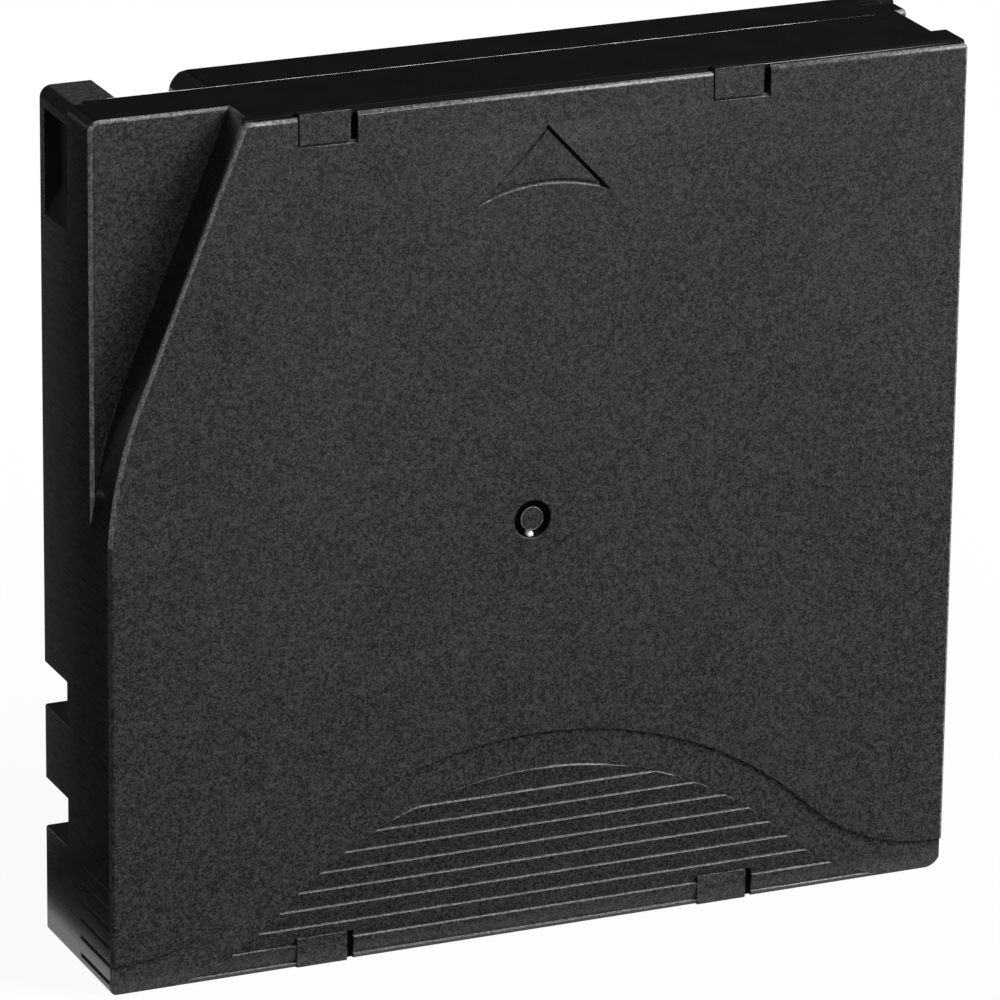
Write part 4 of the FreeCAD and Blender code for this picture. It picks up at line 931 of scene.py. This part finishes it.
# ---------------------------------------------------------------- studio
def upright_card(x0, x1, y, z0, z1):
    """Corners of a card that stands square to Y."""
    return [(x0, y, z0), (x1, y, z0), (x1, y, z1), (x0, y, z1)]


def lying_card(x0, x1, y0, y1, z):
    """Corners of a card that lies level."""
    return [(x0, y0, z), (x1, y0, z), (x1, y1, z), (x0, y1, z)]


class Stage(bpy.types.Operator):
    """Pale floor, soft boxes and the camera"""

    bl_idname = "cartridge.stage"
    bl_label = "Stage"

    def execute(self, context):
        stage = settings().stage
        low, high = CAD_BOX
        middle = (low + high) / 2
        self.floor(stage, low.z, Vector((middle.x, middle.y, low.z)))
        self.flags(low, high)
        self.world(stage)
        self.camera(stage, middle + Vector(stage.aim))
        # Name, power, width and height, direction from the cartridge, distance.
        lamps = (("key_soft_box", stage.key_power, (0.34, 0.34), (0.62, -0.45, 0.64), 0.72),
                 ("front_soft_box", stage.front_power, (0.8, 0.8), (0.1, -0.9, 0.42), 1.2),
                 ("left_strip_box", stage.left_power, (0.16, 0.24), (-0.83, -0.44, 0.4), 0.7),
                 ("rear_soft_box", stage.rear_power, (0.5, 0.5), (-0.62, 0.68, 0.4), 1.0))
        for name, power, size, direction, distance in lamps:
            self.lamp(name, power, size, middle, direction, distance)
        context.scene.view_settings.view_transform = "Standard"
        return {"FINISHED"}

    def floor(self, stage, height, middle):
        """A square of pale board that the camera and gloss see as white, a little less near the cartridge."""
        reach, near, far, near_share = 4.0, 0.06, 0.2, 0.94
        material, tree, shader, coords = new_material("matt_board", 0.8)
        shade = tuple(0.985 * c for c in stage.floor_colour)
        finish_surface(tree, shader, (mottling(tree, coords, 60.0), WHOLE, shade, tuple(stage.floor_colour)))
        away = add_node(tree, "ShaderNodeVectorMath", {0: coords, 1: tuple(middle)}, operation="DISTANCE")
        sweep = add_node(tree, "ShaderNodeMapRange", {
            "Value": away.outputs["Value"], "From Min": near, "From Max": far, "To Min": near_share})
        rays = add_node(tree, "ShaderNodeLightPath").outputs
        seen = rays["Is Camera Ray"]
        for kind in ("Is Glossy Ray", "Is Transmission Ray"):
            seen = add_node(tree, "ShaderNodeMath", {0: seen, 1: rays[kind]},
                            operation="MAXIMUM").outputs["Value"]
        share = add_node(tree, "ShaderNodeMath", {0: seen, 1: sweep.outputs["Result"]}, operation="MULTIPLY")
        white = add_node(tree, "ShaderNodeEmission", {"Color": linear("#ffffff"), "Strength": 1.0})
        both = add_node(tree, "ShaderNodeMixShader", {
            0: share.outputs["Value"], 1: shader.outputs["BSDF"], 2: white.outputs["Emission"]})
        output = [n for n in tree.nodes if n.type == "OUTPUT_MATERIAL"][0]
        tree.links.new(both.outputs["Shader"], output.inputs["Surface"])
        self.panel("studio_floor", lying_card(-reach, reach, -reach, reach, height), material)

    def panel(self, name, corners, material):
        """A flat four-cornered piece of the studio."""
        mesh = bpy.data.meshes.new(name)
        mesh.from_pydata(corners, [], [(0, 1, 2, 3)])
        mesh.materials.append(material)
        board = bpy.data.objects.new(name, mesh)
        bpy.context.scene.collection.objects.link(board)
        return board

    def flags(self, low, high):
        """Black cards round the cartridge, seen only in its gloss, that keep the black plastic black."""
        material, tree, shader, coords = new_material("black_velvet", 0.9, specular=0.1)
        nap = mottling(tree, coords, 1.5)
        finish_surface(tree, shader, (nap, WHOLE, linear("#030303"), linear("#070707")))
        # The cards end 1 to 4 mm short of the cartridge's sides, which sets how dark its polished walls look.
        out, near, far = low.x - 0.4, high.y + 0.02, high.y + 0.14
        top, foot = high.z + 0.004, low.z + MM
        cards = {
            "left_flag": upright_card(out, low.x - 0.004, near, low.z, high.z + 0.1),
            "rear_flag": upright_card(out, high.x + 0.5, far, top, top + 0.4),
            "side_flag": lying_card(out, low.x - 0.002, low.y - 0.1, near, foot),
            "front_flag": lying_card(low.x - 0.2, high.x + 0.4, low.y - 0.5, low.y - 0.001, foot),
        }
        for name, corners in cards.items():
            card = self.panel(name, corners, material)
            card.visible_camera = False
            card.visible_diffuse = False
            card.visible_shadow = False
            card.visible_transmission = False

    def world(self, stage):
        """Even white light from all round."""
        world = bpy.data.worlds.new("soft_room")
        bpy.context.scene.world = world
        world.use_nodes = True
        tree = world.node_tree
        tree.nodes.clear()
        light = add_node(tree, "ShaderNodeBackground", {
            "Color": linear("#ffffff"), "Strength": stage.room_light})
        add_node(tree, "ShaderNodeOutputWorld", {"Surface": light.outputs["Background"]})

    def camera(self, stage, aim):
        """Camera on a sphere round the aim point, rolled about its own axis."""
        a, e, r = stage.azimuth, stage.elevation, stage.roll
        back = Vector((math.sin(a) * math.cos(e), -math.cos(a) * math.cos(e), math.sin(e)))
        right = Vector((math.cos(a), math.sin(a), 0.0))
        up = back.cross(right)
        rolled_right = math.cos(r) * right + math.sin(r) * up
        rolled_up = -math.sin(r) * right + math.cos(r) * up
        data = bpy.data.cameras.new("studio_camera")
        data.lens = stage.lens
        data.sensor_width = 36.0
        data.clip_start = 0.01
        camera = bpy.data.objects.new("studio_camera", data)
        bpy.context.scene.collection.objects.link(camera)
        turn = Matrix((rolled_right, rolled_up, back)).transposed()
        camera.matrix_world = Matrix.Translation(aim + back * stage.distance) @ turn.to_4x4()
        bpy.context.scene.camera = camera

    def lamp(self, name, power, size, middle, direction, distance):
        """Soft box at a distance along a direction from the cartridge, facing it."""
        data = bpy.data.lights.new(name, "AREA")
        data.shape = "RECTANGLE"
        data.size, data.size_y = size
        data.energy = power
        lamp = bpy.data.objects.new(name, data)
        bpy.context.scene.collection.objects.link(lamp)
        away = Vector(direction).normalized()
        lamp.location = middle + away * distance
        lamp.rotation_mode = "QUATERNION"
        lamp.rotation_quaternion = away.to_track_quat("Z", "Y")


# ---------------------------------------------------------------- panel and registration
OPERATORS = (CoverShell, BaseShell, Door, WriteProtectTab, CaseScrews, Springs, Reel, TapePack, LeaderPin,
             ReelLock, Memory, Stage)


class CartridgePanel(bpy.types.Panel):
    """Lists the cartridge's pieces and settings"""

    bl_idname = "VIEW3D_PT_cartridge"
    bl_label = "Tape cartridge"
    bl_space_type = "VIEW_3D"
    bl_region_type = "UI"
    bl_category = "Cartridge"

    def draw(self, context):
        for group in (settings().plastic, settings().springs, settings().stage):
            box = self.layout.box()
            for name in group.__annotations__:
                box.prop(group, name)
        for operator in OPERATORS:
            self.layout.operator(operator.bl_idname)


CLASSES = (PlasticSettings, SpringSettings, StageSettings, CartridgeSettings, *OPERATORS, CartridgePanel)


def register():
    for cls in CLASSES:
        bpy.utils.register_class(cls)
    bpy.types.Scene.cartridge = bpy.props.PointerProperty(type=CartridgeSettings)


def unregister():
    del bpy.types.Scene.cartridge
    for cls in reversed(CLASSES):
        bpy.utils.unregister_class(cls)


def main():
    register()
    for operator in OPERATORS:
        group, name = operator.bl_idname.split(".")
        getattr(getattr(bpy.ops, group), name)()


if __name__ == "__main__":
    main()
